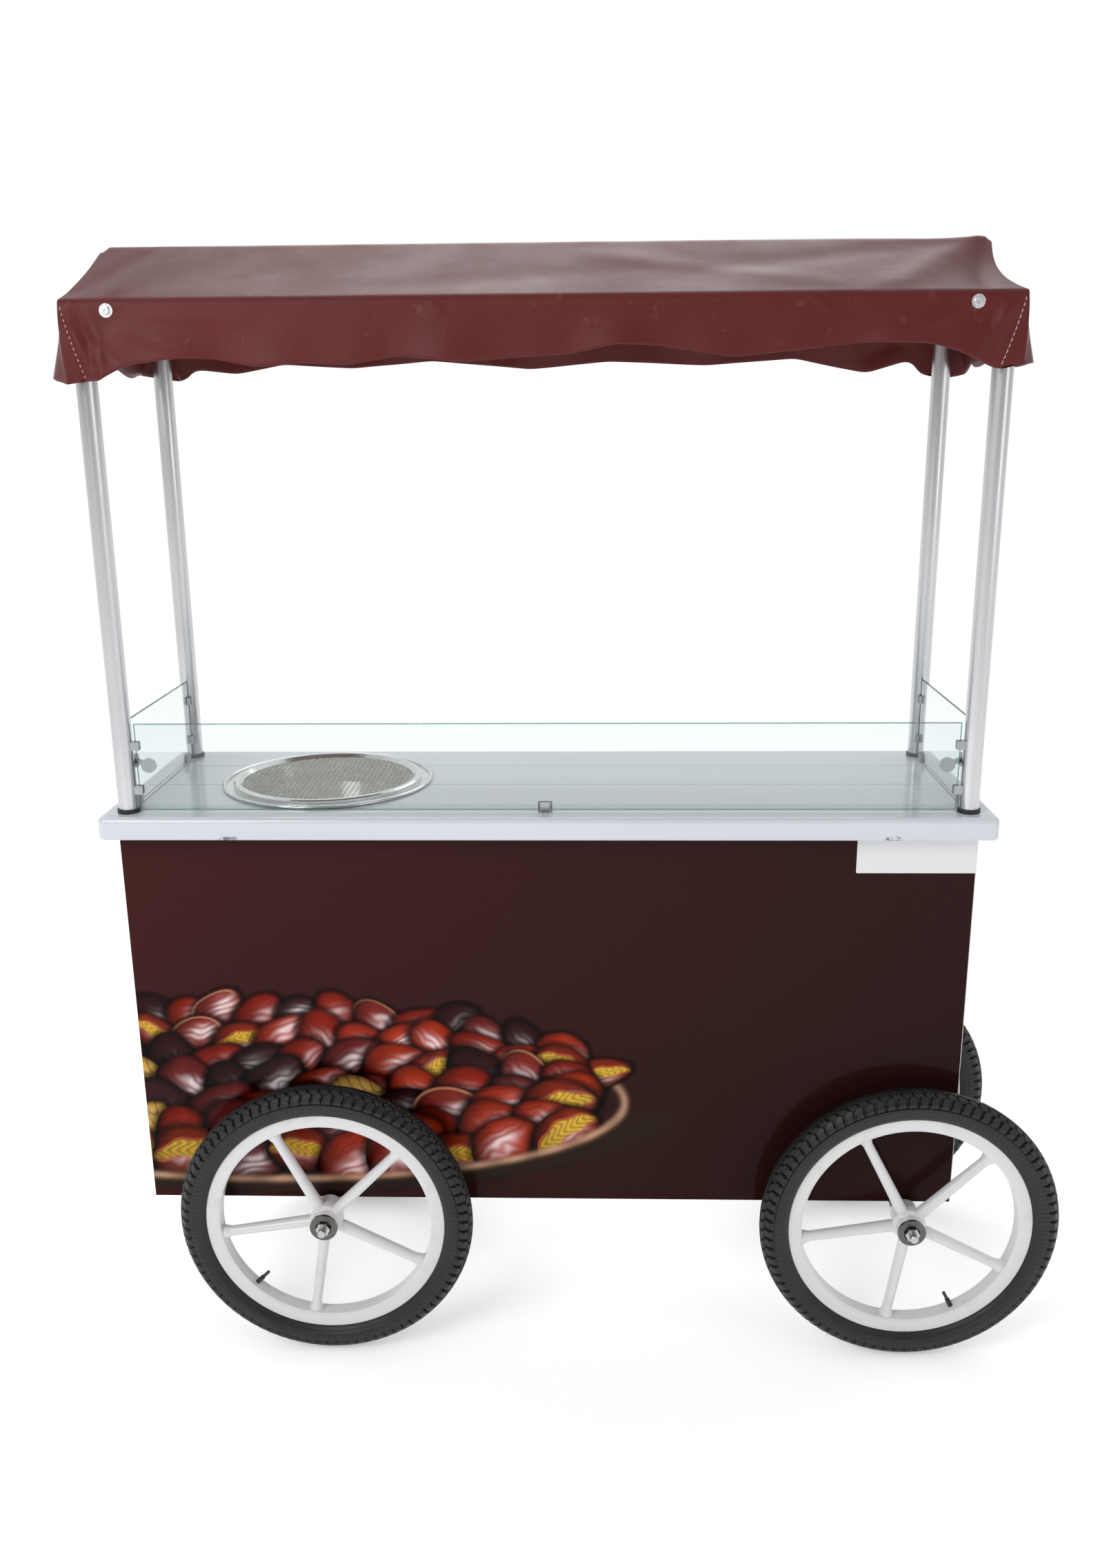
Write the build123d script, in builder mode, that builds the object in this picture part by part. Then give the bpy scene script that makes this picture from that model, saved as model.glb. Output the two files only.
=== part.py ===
from build123d import *
import math
import os

# Push vending cart: a laminated counter on a box cabinet, a gable canopy on four posts,
# a low glass guard, a lift-out ember pan with its sieve, and four bicycle-type wheels.
# Millimetres. +Z is up, +X is right as the customer sees the cart, and +Y points to the
# vendor's side. The origin is on the ground, under the middle of the cart's outline.

# ---------------------------------------------------------------- driving dimensions
running_gap = 0.05          # radial clearance of everything that turns on a pin
fit_gap = 2.0               # clearance round panes and doors

# Wheels: 20 inch one-piece rims with 57-406 tyres
tyre_height = 55.0                # from its bead to its crown
tyre_width = 54.0
tread_width = 44.0
shoulder_drop = 11.0        # how much smaller the shoulder's radius is than the crown's
tyre_wall = 5.0
bead_radius = 203.0
bead_width = 26.4
flange_height = 6.5               # of the rim's flange over the bead seat
flange_width = 32.0
well_depth = 5.0                  # of the rim's well under the bead seat
rim_thickness = 12.0              # from the well to the rim's inner face
rim_bevel = 4.0
rim_back_width = 30.0             # where the bevel meets the rim's sides
rim_inner_width = 26.0
spoke_count = 5
spoke_hub_size = (24.0, 20.0)     # along the axle, across the spoke
spoke_mid_size = (19.0, 17.0)
spoke_rim_size = (24.0, 30.0)
spoke_flare = 14.0                # length of the widening at the rim
spoke_root = 5.0                  # how deep a spoke runs into the hub
spoke_tip = 3.0                   # how deep a spoke runs into the rim
valve_radius = 4.2
valve_stem_radius = 2.8
valve_head_radius = 7.0
valve_head_height = 2.0
valve_reach = 30.0                # how far the valve stands in from the rim
hub_wall = 6.5                    # round the bearings
hub_flange_height = 5.0
hub_flange_width = 26.0
hub_flange_slope = 6.0
hub_bore_gap = 4.0                # between the axle and the hub's bore
hub_inward = 36.0                 # hub barrel, from the wheel's middle to the cabinet
hub_outward = 26.0                # hub barrel, from the wheel's middle outwards
bearing_height = 10.5             # from its bore to its outside
bearing_width = 11.0
bearing_sink = 1.0                # how far the outer bearing sits inside the hub
cup_gap = 1.5                     # round the washer
cup_depth = 5.0

# Axles
tyre_gap = 17.0                   # between the cabinet and a tyre
left_axle_inset = 316.5           # from the cabinet's left end
right_axle_inset = 81.5           # from the cabinet's right end
axle_radius = 7.0
axle_chamfer = 1.0
axle_stickout = 14.0              # bare axle end past the nut
beam_size = 30.0
beam_wall = 2.5
beam_plug_length = 20.0
washer_width = 5.5
washer_thickness = 2.0
nut_wall = 4.0                    # from the axle to the middle of a flat
nut_height = 10.0
spacer_wall = 3.5
end_play = 0.3

# Cabinet
cabinet_length = 1415.0
cabinet_depth = 392.0
cabinet_height = 679.0
panel_thickness = 12.0
tube_size = 30.0
tube_wall = 2.0
floor_thickness = 10.0
shelf_thickness = 12.0
door_clearance = 16.0             # between the wheels' tops and the doors and shelf
notch_gap = 0.5                   # round an upright
cleat_size = 18.0
label_size = (196.0, 64.0, 1.0)
label_gap = 1.0                   # under the counter
edge_round = 2.0                  # corners of the doors, catches and label

# Doors, which close the upper bay only: the lower bay is open between the rear wheels
door_thickness = 14.0
door_gap = 3.0                    # under the counter
hinge_length = 60.0
hinge_inset = 110.0               # hinge's middle from the door's top or bottom
hinge_leaf = 2.0
hinge_leaf_width = 24.0
hinge_edge_gap = 0.5              # between a frame leaf and each face of its panel
hinge_knuckle_radius = 4.0
hinge_pin_radius = 2.0
hinge_slack = 0.2
handle_length = 110.0
handle_reach = 32.0
handle_radius = 5.0
handle_foot_radius = 9.0
handle_foot_thickness = 4.0
handle_bend = 12.0
handle_inset = 55.0               # from the doors' meeting line
handle_height = 440.0             # above the cabinet's bottom
catch_size = (44.0, 14.0, 15.0)

# Counter
counter_side_overhang = 25.5      # past each end of the cabinet
counter_face_overhang = 32.5      # past the cabinet's front and back
counter_thickness = 38.0
counter_corner = 14.0
counter_round = 9.0
plank_width = 130.0
plank_grooves = 3
first_groove = 80.0               # from the counter's front edge
groove_width = 2.4
groove_depth = 1.2
lip_width = 16.0
counter_fit_hole = 4.0            # clearance between the pan's body and its cut-out

# Ember pan and sieve
pan_inset = 312.5                 # from the cabinet's left end to the pan's middle
pan_offset_y = 8.0
pan_frame_gap = 15.0              # between the pan and the top frame's rails
pan_taper = 20.0                  # how much smaller the bottom's radius is
pan_depth = 78.0
pan_wall = 1.5
pan_flange_width = 44.0
pan_bead_radius = 3.0
sieve_overlap = 28.0              # of the sieve's rim over the pan's flange
sieve_rim_width = 13.0
sieve_height = 9.0
sieve_bevel = 2.0
sieve_step = 3.0                  # inner step that holds the mesh
sieve_foot = 4.0                  # width of the step's foot
sieve_wall = 1.5
mesh_thickness = 1.6

# Canopy posts
post_radius = 16.0
post_wall = 1.5
post_inset_x = 43.0               # from the counter's end to a post's middle
post_inset_y = 41.0               # from the counter's long edge to a post's middle
ring_wall = 2.5
ring_height = 7.0
ring_chamfer = 0.8
spigot_height = 60.0
stud_radius = 5.0
stud_length = 30.0
stud_end_gap = 1.0

# Canopy
canopy_end_overhang = 0.0         # of the cover's inside past the posts
canopy_face_overhang = 37.5
eave_rise = 795.0                 # above the counter
roof_rise = 99.0                  # of the ridge above the eaves
valance_drop = 112.0
valance_straight = 30.0           # upright part of the valance, above its flare
valance_flare = 10.0
cover_thickness = 3.0
rail_size = 22.0
rail_wall = 1.5
ridge_pole_radius = 11.0
canopy_screw_inset = 72.0         # from the canopy's end
canopy_screw_radius = 2.5
canopy_screw_length = 13.0
canopy_head_radius = 6.5
canopy_head_height = 4.0
canopy_head_taper = 18.0
canopy_socket_radius = 2.2
canopy_washer_radius = 10.0
canopy_washer_thickness = 1.2

# Glass guard
glass_thickness = 4.0
glass_height = 146.0
glass_lift = 3.0                  # clip floor under the glass
clip_length = 24.0
clip_thickness = 14.0
clip_height = 17.0
clip_inset = 30.0                 # clip's middle from the end of its pane
clamp_size = 14.0
clamp_heights = (38.0, 112.0)     # above the counter
connector_disc_radius = 12.0
connector_disc_thickness = 6.0
connector_rod_radius = 5.0
connector_inset = 18.0            # disc's middle from the end of its pane
connector_height = 78.0           # above the counter
connector_bite = 1.0              # how deep the rod runs into a disc

# ---------------------------------------------------------------- places worked out from them
tyre_radius = bead_radius + tyre_height
flange_radius = bead_radius + flange_height
rim_well_radius = bead_radius - well_depth
rim_inner_radius = rim_well_radius - rim_thickness
bearing_radius = axle_radius + bearing_height
hub_radius = bearing_radius + hub_wall
hub_flange_radius = hub_radius + hub_flange_height
hub_bore_radius = axle_radius + hub_bore_gap
washer_radius = axle_radius + washer_width
cup_bore_radius = washer_radius + cup_gap
nut_radius = axle_radius + nut_wall
spacer_radius = axle_radius + spacer_wall
wheel_track = cabinet_depth + 2 * tyre_gap + tyre_width
left_axle_offset = cabinet_length / 2 - left_axle_inset
right_axle_offset = cabinet_length / 2 - right_axle_inset

counter_length = cabinet_length + 2 * counter_side_overhang
counter_depth = cabinet_depth + 2 * counter_face_overhang
post_span_x = counter_length - 2 * post_inset_x
post_span_y = counter_depth - 2 * post_inset_y
canopy_length = post_span_x + 2 * (post_radius + canopy_end_overhang + cover_thickness)
canopy_depth = post_span_y + 2 * canopy_face_overhang
left_reach = max(counter_length / 2, left_axle_offset + tyre_radius)
right_reach = max(counter_length / 2, right_axle_offset + tyre_radius)
body_x = (left_reach - right_reach) / 2
axle_z = tyre_radius
axle_xs = (body_x - left_axle_offset, body_x + right_axle_offset)
beam_end = cabinet_depth / 2
washer_start = wheel_track / 2 + hub_outward - bearing_sink + end_play
axle_half = washer_start + washer_thickness + nut_height + axle_stickout

cabinet_bottom = axle_z + beam_size / 2
cabinet_top = cabinet_bottom + cabinet_height
counter_top_z = cabinet_top + counter_thickness
cabinet_left = body_x - cabinet_length / 2
cabinet_right = body_x + cabinet_length / 2
cabinet_front = -cabinet_depth / 2
cabinet_rear = cabinet_depth / 2
inside_left = cabinet_left + panel_thickness
inside_right = cabinet_right - panel_thickness
frame_front = cabinet_front + panel_thickness
frame_rear = cabinet_rear - door_thickness
frame_length = inside_right - inside_left
frame_depth = frame_rear - frame_front
frame_mid_y = (frame_front + frame_rear) / 2
floor_z = cabinet_bottom + tube_size
top_frame_z = cabinet_top - tube_size
shelf_z = 2 * tyre_radius + door_clearance
pan_x = cabinet_left + pan_inset
pan_y = pan_offset_y
pan_radius = frame_depth / 2 - tube_size - pan_frame_gap
pan_bottom_radius = pan_radius - pan_taper
pan_flange_radius = pan_radius + pan_flange_width
sieve_radius = pan_radius + sieve_overlap
sieve_bore_radius = sieve_radius - sieve_rim_width
mesh_radius = sieve_bore_radius - sieve_step

post_points = {
    "front_left": (body_x - post_span_x / 2, -post_span_y / 2),
    "front_right": (body_x + post_span_x / 2, -post_span_y / 2),
    "rear_left": (body_x - post_span_x / 2, post_span_y / 2),
    "rear_right": (body_x + post_span_x / 2, post_span_y / 2),
}
eave_height = counter_top_z + eave_rise
ridge_height = eave_height + roof_rise
ring_radius = post_radius + ring_wall
rail_outer_y = canopy_depth / 2 - cover_thickness
eave_rail_z = eave_height - cover_thickness - rail_size
end_rail_z = eave_rail_z - rail_size
roof_angle = math.atan2(ridge_height - eave_height, canopy_depth / 2)
ridge_pole_z = ridge_height - (cover_thickness + ridge_pole_radius) / math.cos(roof_angle)
glass_bottom = counter_top_z + glass_lift
pane_gap = ring_radius + fit_gap
glass_front_length = post_span_x - 2 * pane_gap
glass_side_length = post_span_y - 2 * pane_gap

os.makedirs("parts", exist_ok=True)


def save(builder, name):
    """Label a finished piece and write its file."""
    builder.part.label = name
    export_step(builder.part, f"parts/{name}.step")


# ---------------------------------------------------------------- wheels
def wheel_plane(x, side):
    """Plane at a wheel's middle: its Z points out along the axle and its Y up."""
    return Plane(origin=(x, side * wheel_track / 2, axle_z), x_dir=(-side, 0, 0), z_dir=(0, side, 0))


def section_plane(wheel):
    """Plane through the axle: its X is the radius and its Y runs out along the axle."""
    return Plane(origin=wheel.origin, x_dir=wheel.x_dir, z_dir=wheel.x_dir.cross(wheel.z_dir))


def radial_plane(wheel, angle, radius, inwards=False):
    """Plane square to the spoke direction at an angle, at a radius from the axle."""
    turn = math.radians(angle)
    outwards = wheel.x_dir * math.cos(turn) + wheel.y_dir * math.sin(turn)
    return Plane(
        origin=wheel.origin + outwards * radius,
        x_dir=wheel.z_dir,
        z_dir=outwards * (-1 if inwards else 1),
    )


def carcass(inset):
    """The tyre's outline in section, moved inwards by the given wall."""
    bead_y = bead_width / 2 - inset
    side_y = tyre_width / 2 - inset
    shoulder = (tyre_radius - shoulder_drop - inset / 2, tread_width / 2 - inset)
    belly_radius = (flange_radius + tyre_radius - shoulder_drop) / 2
    with BuildSketch() as outline:
        with BuildLine():
            Polyline((flange_radius, -bead_y), (bead_radius, -bead_y), (bead_radius, bead_y),
                     (flange_radius, bead_y))
            ThreePointArc((flange_radius, bead_y), (belly_radius, side_y), shoulder)
            ThreePointArc(shoulder, (tyre_radius - inset, 0), (shoulder[0], -shoulder[1]))
            ThreePointArc((shoulder[0], -shoulder[1]), (belly_radius, -side_y), (flange_radius, -bead_y))
        make_face()
    return outline.sketch


def make_tyre(name, wheel):
    with BuildPart() as tyre:
        with BuildSketch(section_plane(wheel)):
            add(carcass(0))
            add(carcass(tyre_wall), mode=Mode.SUBTRACT)
        revolve(axis=Axis(wheel.origin, wheel.z_dir))
    save(tyre, name)


def make_rim(name, wheel, valve_angle):
    """One casting: channel ring, five spokes and the hub barrel with its bearing seats."""
    bead_y = bead_width / 2
    half_ring = (
        (flange_radius, flange_width / 2),
        (flange_radius, bead_y),
        (bead_radius, bead_y),
        (rim_well_radius, bead_y - (bead_radius - rim_well_radius)),
    )
    ring = [*half_ring, *[(radius, -y) for radius, y in reversed(half_ring)]]
    half_back = (
        (rim_inner_radius, rim_inner_width / 2),
        (rim_inner_radius + rim_bevel, rim_back_width / 2),
    )
    ring += [*[(radius, -y) for radius, y in reversed(half_back)], *half_back]
    seat = bearing_width
    barrel = [
        (hub_bore_radius, -hub_inward + seat), (bearing_radius, -hub_inward + seat),
        (bearing_radius, -hub_inward), (hub_radius, -hub_inward),
        (hub_radius, -hub_flange_width / 2),
        (hub_flange_radius, -hub_flange_width / 2 + hub_flange_slope),
        (hub_flange_radius, hub_flange_width / 2 - hub_flange_slope),
        (hub_radius, hub_flange_width / 2),
        (hub_radius, hub_outward), (bearing_radius, hub_outward),
        (bearing_radius, hub_outward - seat - bearing_sink),
        (hub_bore_radius, hub_outward - seat - bearing_sink),
    ]
    with BuildPart() as rim:
        with BuildSketch(section_plane(wheel)):
            Polygon(*ring, align=None)
            Polygon(*barrel, align=None)
        revolve(axis=Axis(wheel.origin, wheel.z_dir))
        for i in range(spoke_count):
            angle = valve_angle + (i + 0.5) * 360 / spoke_count
            stations = (
                (hub_radius - spoke_root, spoke_hub_size),
                (rim_inner_radius - spoke_flare, spoke_mid_size),
                (rim_inner_radius + spoke_tip, spoke_rim_size),
            )
            for (inner, inner_size), (outer, outer_size) in zip(stations, stations[1:]):
                for radius, (axial, across) in ((inner, inner_size), (outer, outer_size)):
                    with BuildSketch(radial_plane(wheel, angle, radius)):
                        Ellipse(axial / 2, across / 2)
                loft()
        with BuildSketch(radial_plane(wheel, valve_angle, rim_inner_radius - spoke_tip)):
            Circle(valve_radius + running_gap)
        extrude(amount=flange_radius - rim_inner_radius, mode=Mode.SUBTRACT)
    save(rim, name)


def make_valve(name, wheel, valve_angle):
    """Snap-in rubber valve: a head on the well of the rim, a body through it and a stem."""
    with BuildPart() as valve:
        with BuildSketch(radial_plane(wheel, valve_angle, rim_well_radius)):
            Circle(valve_head_radius)
        extrude(amount=valve_head_height)
        with BuildSketch(radial_plane(wheel, valve_angle, rim_well_radius, inwards=True)):
            Circle(valve_radius)
        extrude(amount=rim_well_radius - rim_inner_radius + valve_reach / 2)
        with BuildSketch(radial_plane(wheel, valve_angle, rim_inner_radius - valve_reach / 2, inwards=True)):
            Circle(valve_stem_radius)
        extrude(amount=valve_reach / 2)
    save(valve, name)


def make_hub_bearings(name, wheel):
    """Two sealed ball bearings, and the pressed steel cup on the hub's outer end."""
    bore = axle_radius + running_gap
    outer_face = hub_outward - bearing_sink
    sections = (
        (bore, bearing_radius, -hub_inward, -hub_inward + bearing_width),
        (bore, bearing_radius, outer_face - bearing_width, outer_face),
        (cup_bore_radius, hub_radius, hub_outward, hub_outward + cup_depth),
    )
    with BuildPart() as bearings:
        with BuildSketch(section_plane(wheel)):
            for inner, outer, low, high in sections:
                with Locations(((inner + outer) / 2, (low + high) / 2)):
                    Rectangle(outer - inner, high - low)
        revolve(axis=Axis(wheel.origin, wheel.z_dir))
    save(bearings, name)


wheels = {
    "front_left": (axle_xs[0], -1, 225.0),
    "front_right": (axle_xs[1], -1, 297.0),
    "rear_left": (axle_xs[0], 1, 100.0),
    "rear_right": (axle_xs[1], 1, 160.0),
}
for place, (wheel_x, wheel_side, wheel_valve_angle) in wheels.items():
    here = wheel_plane(wheel_x, wheel_side)
    make_tyre(f"tyre_{place}", here)
    make_rim(f"rim_{place}", here, wheel_valve_angle)
    make_valve(f"valve_{place}", here, wheel_valve_angle)
    make_hub_bearings(f"hub_bearings_{place}", here)


# ---------------------------------------------------------------- axles
def axle_plane(x, y, side):
    """Plane square to an axle at a distance from the middle, looking outwards."""
    return Plane(origin=(x, side * y, axle_z), x_dir=(-side, 0, 0), z_dir=(0, side, 0))


axle_ends = [(x, side) for x in axle_xs for side in (-1, 1)]

with BuildPart() as axle_beams:
    for x in axle_xs:
        with BuildSketch(axle_plane(x, -beam_end, 1)):
            Rectangle(beam_size, beam_size)
            Rectangle(beam_size - 2 * beam_wall, beam_size - 2 * beam_wall, mode=Mode.SUBTRACT)
        extrude(amount=2 * beam_end)
save(axle_beams, "axle_beams")

with BuildPart() as axle_plugs:
    for x, side in axle_ends:
        with BuildSketch(axle_plane(x, beam_end - beam_plug_length, side)):
            Rectangle(beam_size - 2 * beam_wall, beam_size - 2 * beam_wall)
            Circle(axle_radius + running_gap, mode=Mode.SUBTRACT)
        extrude(amount=beam_plug_length)
save(axle_plugs, "axle_plugs")

with BuildPart() as axle_rods:
    for x in axle_xs:
        with BuildSketch(axle_plane(x, -axle_half, 1)):
            Circle(axle_radius)
        extrude(amount=2 * axle_half)
    chamfer(axle_rods.edges().filter_by(GeomType.CIRCLE), length=axle_chamfer)
save(axle_rods, "axle_rods")

spacer_length = wheel_track / 2 - hub_inward - end_play - beam_end
with BuildPart() as axle_washers:
    for x, side in axle_ends:
        with BuildSketch(axle_plane(x, washer_start, side)):
            Circle(washer_radius)
            Circle(axle_radius + running_gap, mode=Mode.SUBTRACT)
        extrude(amount=washer_thickness)
        with BuildSketch(axle_plane(x, beam_end, side)):
            Circle(spacer_radius)
            Circle(axle_radius + running_gap, mode=Mode.SUBTRACT)
        extrude(amount=spacer_length)
save(axle_washers, "axle_washers")

with BuildPart() as axle_nuts:
    for x, side in axle_ends:
        with BuildSketch(axle_plane(x, washer_start + washer_thickness, side)):
            RegularPolygon(nut_radius, 6, major_radius=False)
            Circle(axle_radius + running_gap, mode=Mode.SUBTRACT)
        extrude(amount=nut_height)
save(axle_nuts, "axle_nuts")


# ---------------------------------------------------------------- cabinet frame
def make_tube_frame(name, bottom, cross_xs):
    """Welded ladder frame of square tube, with its bores open at the rails' ends."""
    rail_ys = (frame_front + tube_size / 2, frame_rear - tube_size / 2)
    bore = tube_size - 2 * tube_wall
    middle = bottom + tube_size / 2
    end_xs = (inside_left + tube_size / 2, inside_right - tube_size / 2)
    with BuildPart() as frame:
        with Locations([(body_x, y, middle) for y in rail_ys]):
            Box(frame_length, tube_size, tube_size)
        with Locations([(x, frame_mid_y, middle) for x in (*end_xs, *cross_xs)]):
            Box(tube_size, frame_depth, tube_size)
        with Locations([(body_x, y, middle) for y in rail_ys]):
            Box(frame_length, bore, bore, mode=Mode.SUBTRACT)
        with Locations([(x, frame_mid_y, middle) for x in (*end_xs, *cross_xs)]):
            Box(bore, frame_depth, bore, mode=Mode.SUBTRACT)
    save(frame, name)


make_tube_frame("chassis_frame", cabinet_bottom, axle_xs)
make_tube_frame("top_frame", top_frame_z, (body_x,))

upright_points = [
    (x, y)
    for x in (inside_left + tube_size / 2, inside_right - tube_size / 2)
    for y in (frame_front + tube_size / 2, frame_rear - tube_size / 2)
]
with BuildPart() as uprights:
    with BuildSketch(Plane.XY.offset(floor_z)):
        with Locations(upright_points):
            Rectangle(tube_size, tube_size)
            Rectangle(tube_size - 2 * tube_wall, tube_size - 2 * tube_wall, mode=Mode.SUBTRACT)
    extrude(amount=top_frame_z - floor_z)
save(uprights, "uprights")


# ---------------------------------------------------------------- cabinet panels
def make_board(name, bottom, thickness):
    """Horizontal board between the panels, notched round the four uprights."""
    notch = tube_size + 2 * notch_gap
    with BuildPart() as board:
        with BuildSketch(Plane.XY.offset(bottom)):
            with Locations((body_x, frame_mid_y)):
                Rectangle(frame_length, frame_depth)
            with Locations(upright_points):
                Rectangle(notch, notch, mode=Mode.SUBTRACT)
        extrude(amount=thickness)
    save(board, name)


make_board("floor_panel", floor_z, floor_thickness)
make_board("shelf", shelf_z, shelf_thickness)

panel_mid_z = (cabinet_bottom + cabinet_top) / 2
side_depth = cabinet_rear - frame_front
with BuildPart() as front_panel:
    with Locations((body_x, cabinet_front + panel_thickness / 2, panel_mid_z)):
        Box(cabinet_length, panel_thickness, cabinet_height)
save(front_panel, "front_panel")

for name, x in (
    ("left_panel", cabinet_left + panel_thickness / 2),
    ("right_panel", cabinet_right - panel_thickness / 2),
):
    with BuildPart() as side_panel:
        with Locations((x, cabinet_rear - side_depth / 2, panel_mid_z)):
            Box(panel_thickness, side_depth, cabinet_height)
    save(side_panel, name)

cleat_length = frame_depth - 2 * tube_size - fit_gap
with BuildPart() as shelf_cleats:
    with Locations([
        (inside_left + cleat_size / 2, frame_mid_y, shelf_z - cleat_size / 2),
        (inside_right - cleat_size / 2, frame_mid_y, shelf_z - cleat_size / 2),
    ]):
        Box(cleat_size, cleat_length, cleat_size)
save(shelf_cleats, "shelf_cleats")

with BuildPart() as label_plate:
    with Locations((cabinet_right - label_size[0] / 2, cabinet_front - label_size[2] / 2,
                    cabinet_top - label_size[1] / 2 - label_gap)):
        Box(label_size[0], label_size[2], label_size[1])
    fillet(label_plate.edges().filter_by(Axis.Y), radius=edge_round)
save(label_plate, "label_plate")

# ---------------------------------------------------------------- doors
door_bottom = shelf_z
door_top = cabinet_top - door_gap
door_width = (frame_length - 3 * fit_gap) / 2
hinge_y = cabinet_rear + hinge_leaf + hinge_knuckle_radius
hinge_heights = (door_bottom + hinge_inset, door_top - hinge_inset)
knuckle_length = hinge_length / 3
frame_leaf_width = panel_thickness - 2 * hinge_edge_gap


def hinge_x(side):
    """Hinge line over the rear edge of a side panel."""
    return body_x + side * (cabinet_length - panel_thickness) / 2


def make_door(name, side):
    with BuildPart() as door:
        with Locations((body_x + side * (fit_gap + door_width) / 2, cabinet_rear - door_thickness / 2,
                        (door_bottom + door_top) / 2)):
            Box(door_width, door_thickness, door_top - door_bottom)
        fillet(door.edges().filter_by(Axis.Y), radius=edge_round)
    save(door, name)


def make_door_leaves(name, side):
    """Hinge leaves on the door: a plate, a strap over the frame leaf to the pin and the middle knuckle."""
    edge_x = body_x + side * (fit_gap / 2 + door_width)
    line_x = hinge_x(side)
    plate_x = edge_x - side * hinge_leaf_width / 2
    middle_length = knuckle_length - 2 * hinge_slack
    with BuildPart() as leaves:
        for z in hinge_heights:
            with Locations((plate_x, cabinet_rear + hinge_leaf / 2, z)):
                Box(hinge_leaf_width, hinge_leaf, hinge_length)
            with Locations(((plate_x + line_x) / 2, cabinet_rear + 1.5 * hinge_leaf, z)):
                Box(abs(line_x - plate_x), hinge_leaf, middle_length)
            with Locations((line_x, cabinet_rear + hinge_leaf / 2, z)):
                Box(frame_leaf_width + 2 * hinge_slack, hinge_leaf + 2 * hinge_slack, hinge_length,
                    mode=Mode.SUBTRACT)
            with BuildSketch(Plane(origin=(line_x, hinge_y, z - middle_length / 2))):
                Circle(hinge_knuckle_radius)
            extrude(amount=middle_length)
            with BuildSketch(Plane(origin=(line_x, hinge_y, z - middle_length / 2))):
                Circle(hinge_pin_radius + running_gap)
            extrude(amount=middle_length, mode=Mode.SUBTRACT)
    save(leaves, name)


def make_handle(name, side):
    """Bow handle: a bent bar on two round feet."""
    x = body_x + side * handle_inset
    z = cabinet_bottom + handle_height
    face_y = cabinet_rear
    foot_y = face_y + handle_foot_thickness
    half = handle_length / 2
    with BuildPart() as handle:
        with BuildLine():
            FilletPolyline(
                (x, foot_y, z - half), (x, face_y + handle_reach, z - half),
                (x, face_y + handle_reach, z + half), (x, foot_y, z + half),
                radius=handle_bend,
            )
        with BuildSketch(Plane(origin=(x, foot_y, z - half), x_dir=(1, 0, 0), z_dir=(0, 1, 0))):
            Circle(handle_radius)
        sweep()
        for foot_z in (z - half, z + half):
            with BuildSketch(Plane(origin=(x, face_y, foot_z), x_dir=(1, 0, 0), z_dir=(0, 1, 0))):
                Circle(handle_foot_radius)
            extrude(amount=handle_foot_thickness)
    save(handle, name)


for name, side in (("left", -1), ("right", 1)):
    make_door(f"door_{name}", side)
    make_door_leaves(f"door_hinges_{name}", side)
    make_handle(f"handle_{name}", side)

with BuildPart() as frame_hinges:
    for side in (-1, 1):
        line_x = hinge_x(side)
        for z in hinge_heights:
            with Locations((line_x, cabinet_rear + hinge_leaf / 2, z)):
                Box(frame_leaf_width, hinge_leaf, hinge_length)
            for end in (-1, 1):
                knuckle_z = z + end * knuckle_length
                with Locations((line_x, (cabinet_rear + hinge_y) / 2, knuckle_z)):
                    Box(hinge_knuckle_radius, hinge_y - cabinet_rear, knuckle_length)
                with BuildSketch(Plane(origin=(line_x, hinge_y, knuckle_z - knuckle_length / 2))):
                    Circle(hinge_knuckle_radius)
                extrude(amount=knuckle_length)
            with BuildSketch(Plane(origin=(line_x, hinge_y, z - hinge_length / 2))):
                Circle(hinge_pin_radius)
            extrude(amount=hinge_length)
save(frame_hinges, "frame_hinges")

with BuildPart() as magnet_catches:
    with Locations([
        (body_x + side * catch_size[0], frame_rear - catch_size[1] / 2, top_frame_z - catch_size[2] / 2)
        for side in (-1, 1)
    ]):
        Box(*catch_size)
    fillet(magnet_catches.edges().filter_by(Axis.Y), radius=edge_round)
save(magnet_catches, "magnet_catches")

# ---------------------------------------------------------------- counter
counter_front = -counter_depth / 2
groove_ys = [counter_front + lip_width]
groove_ys += [counter_front + first_groove + i * plank_width for i in range(plank_grooves)]
with BuildPart() as counter_top:
    with Locations((body_x, 0, counter_top_z - counter_thickness / 2)):
        Box(counter_length, counter_depth, counter_thickness)
    fillet(counter_top.edges().filter_by(Axis.Z), radius=counter_corner)
    fillet(counter_top.faces().sort_by(Axis.Z)[-1].edges(), radius=counter_round)
    fillet(counter_top.faces().sort_by(Axis.Z)[0].edges(), radius=counter_round / 2)
    with Locations([(body_x, y, counter_top_z - groove_depth / 2) for y in groove_ys]):
        Box(counter_length - 2 * lip_width, groove_width, groove_depth, mode=Mode.SUBTRACT)
    with BuildSketch(Plane.XY.offset(counter_top_z)):
        with Locations((pan_x, pan_y)):
            Circle(pan_radius + counter_fit_hole)
    extrude(amount=-counter_thickness, mode=Mode.SUBTRACT)
    with BuildSketch(Plane.XY.offset(counter_top_z)):
        with Locations(list(post_points.values())):
            Circle(stud_radius + running_gap)
    extrude(amount=-stud_length - stud_end_gap, mode=Mode.SUBTRACT)
save(counter_top, "counter_top")

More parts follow.
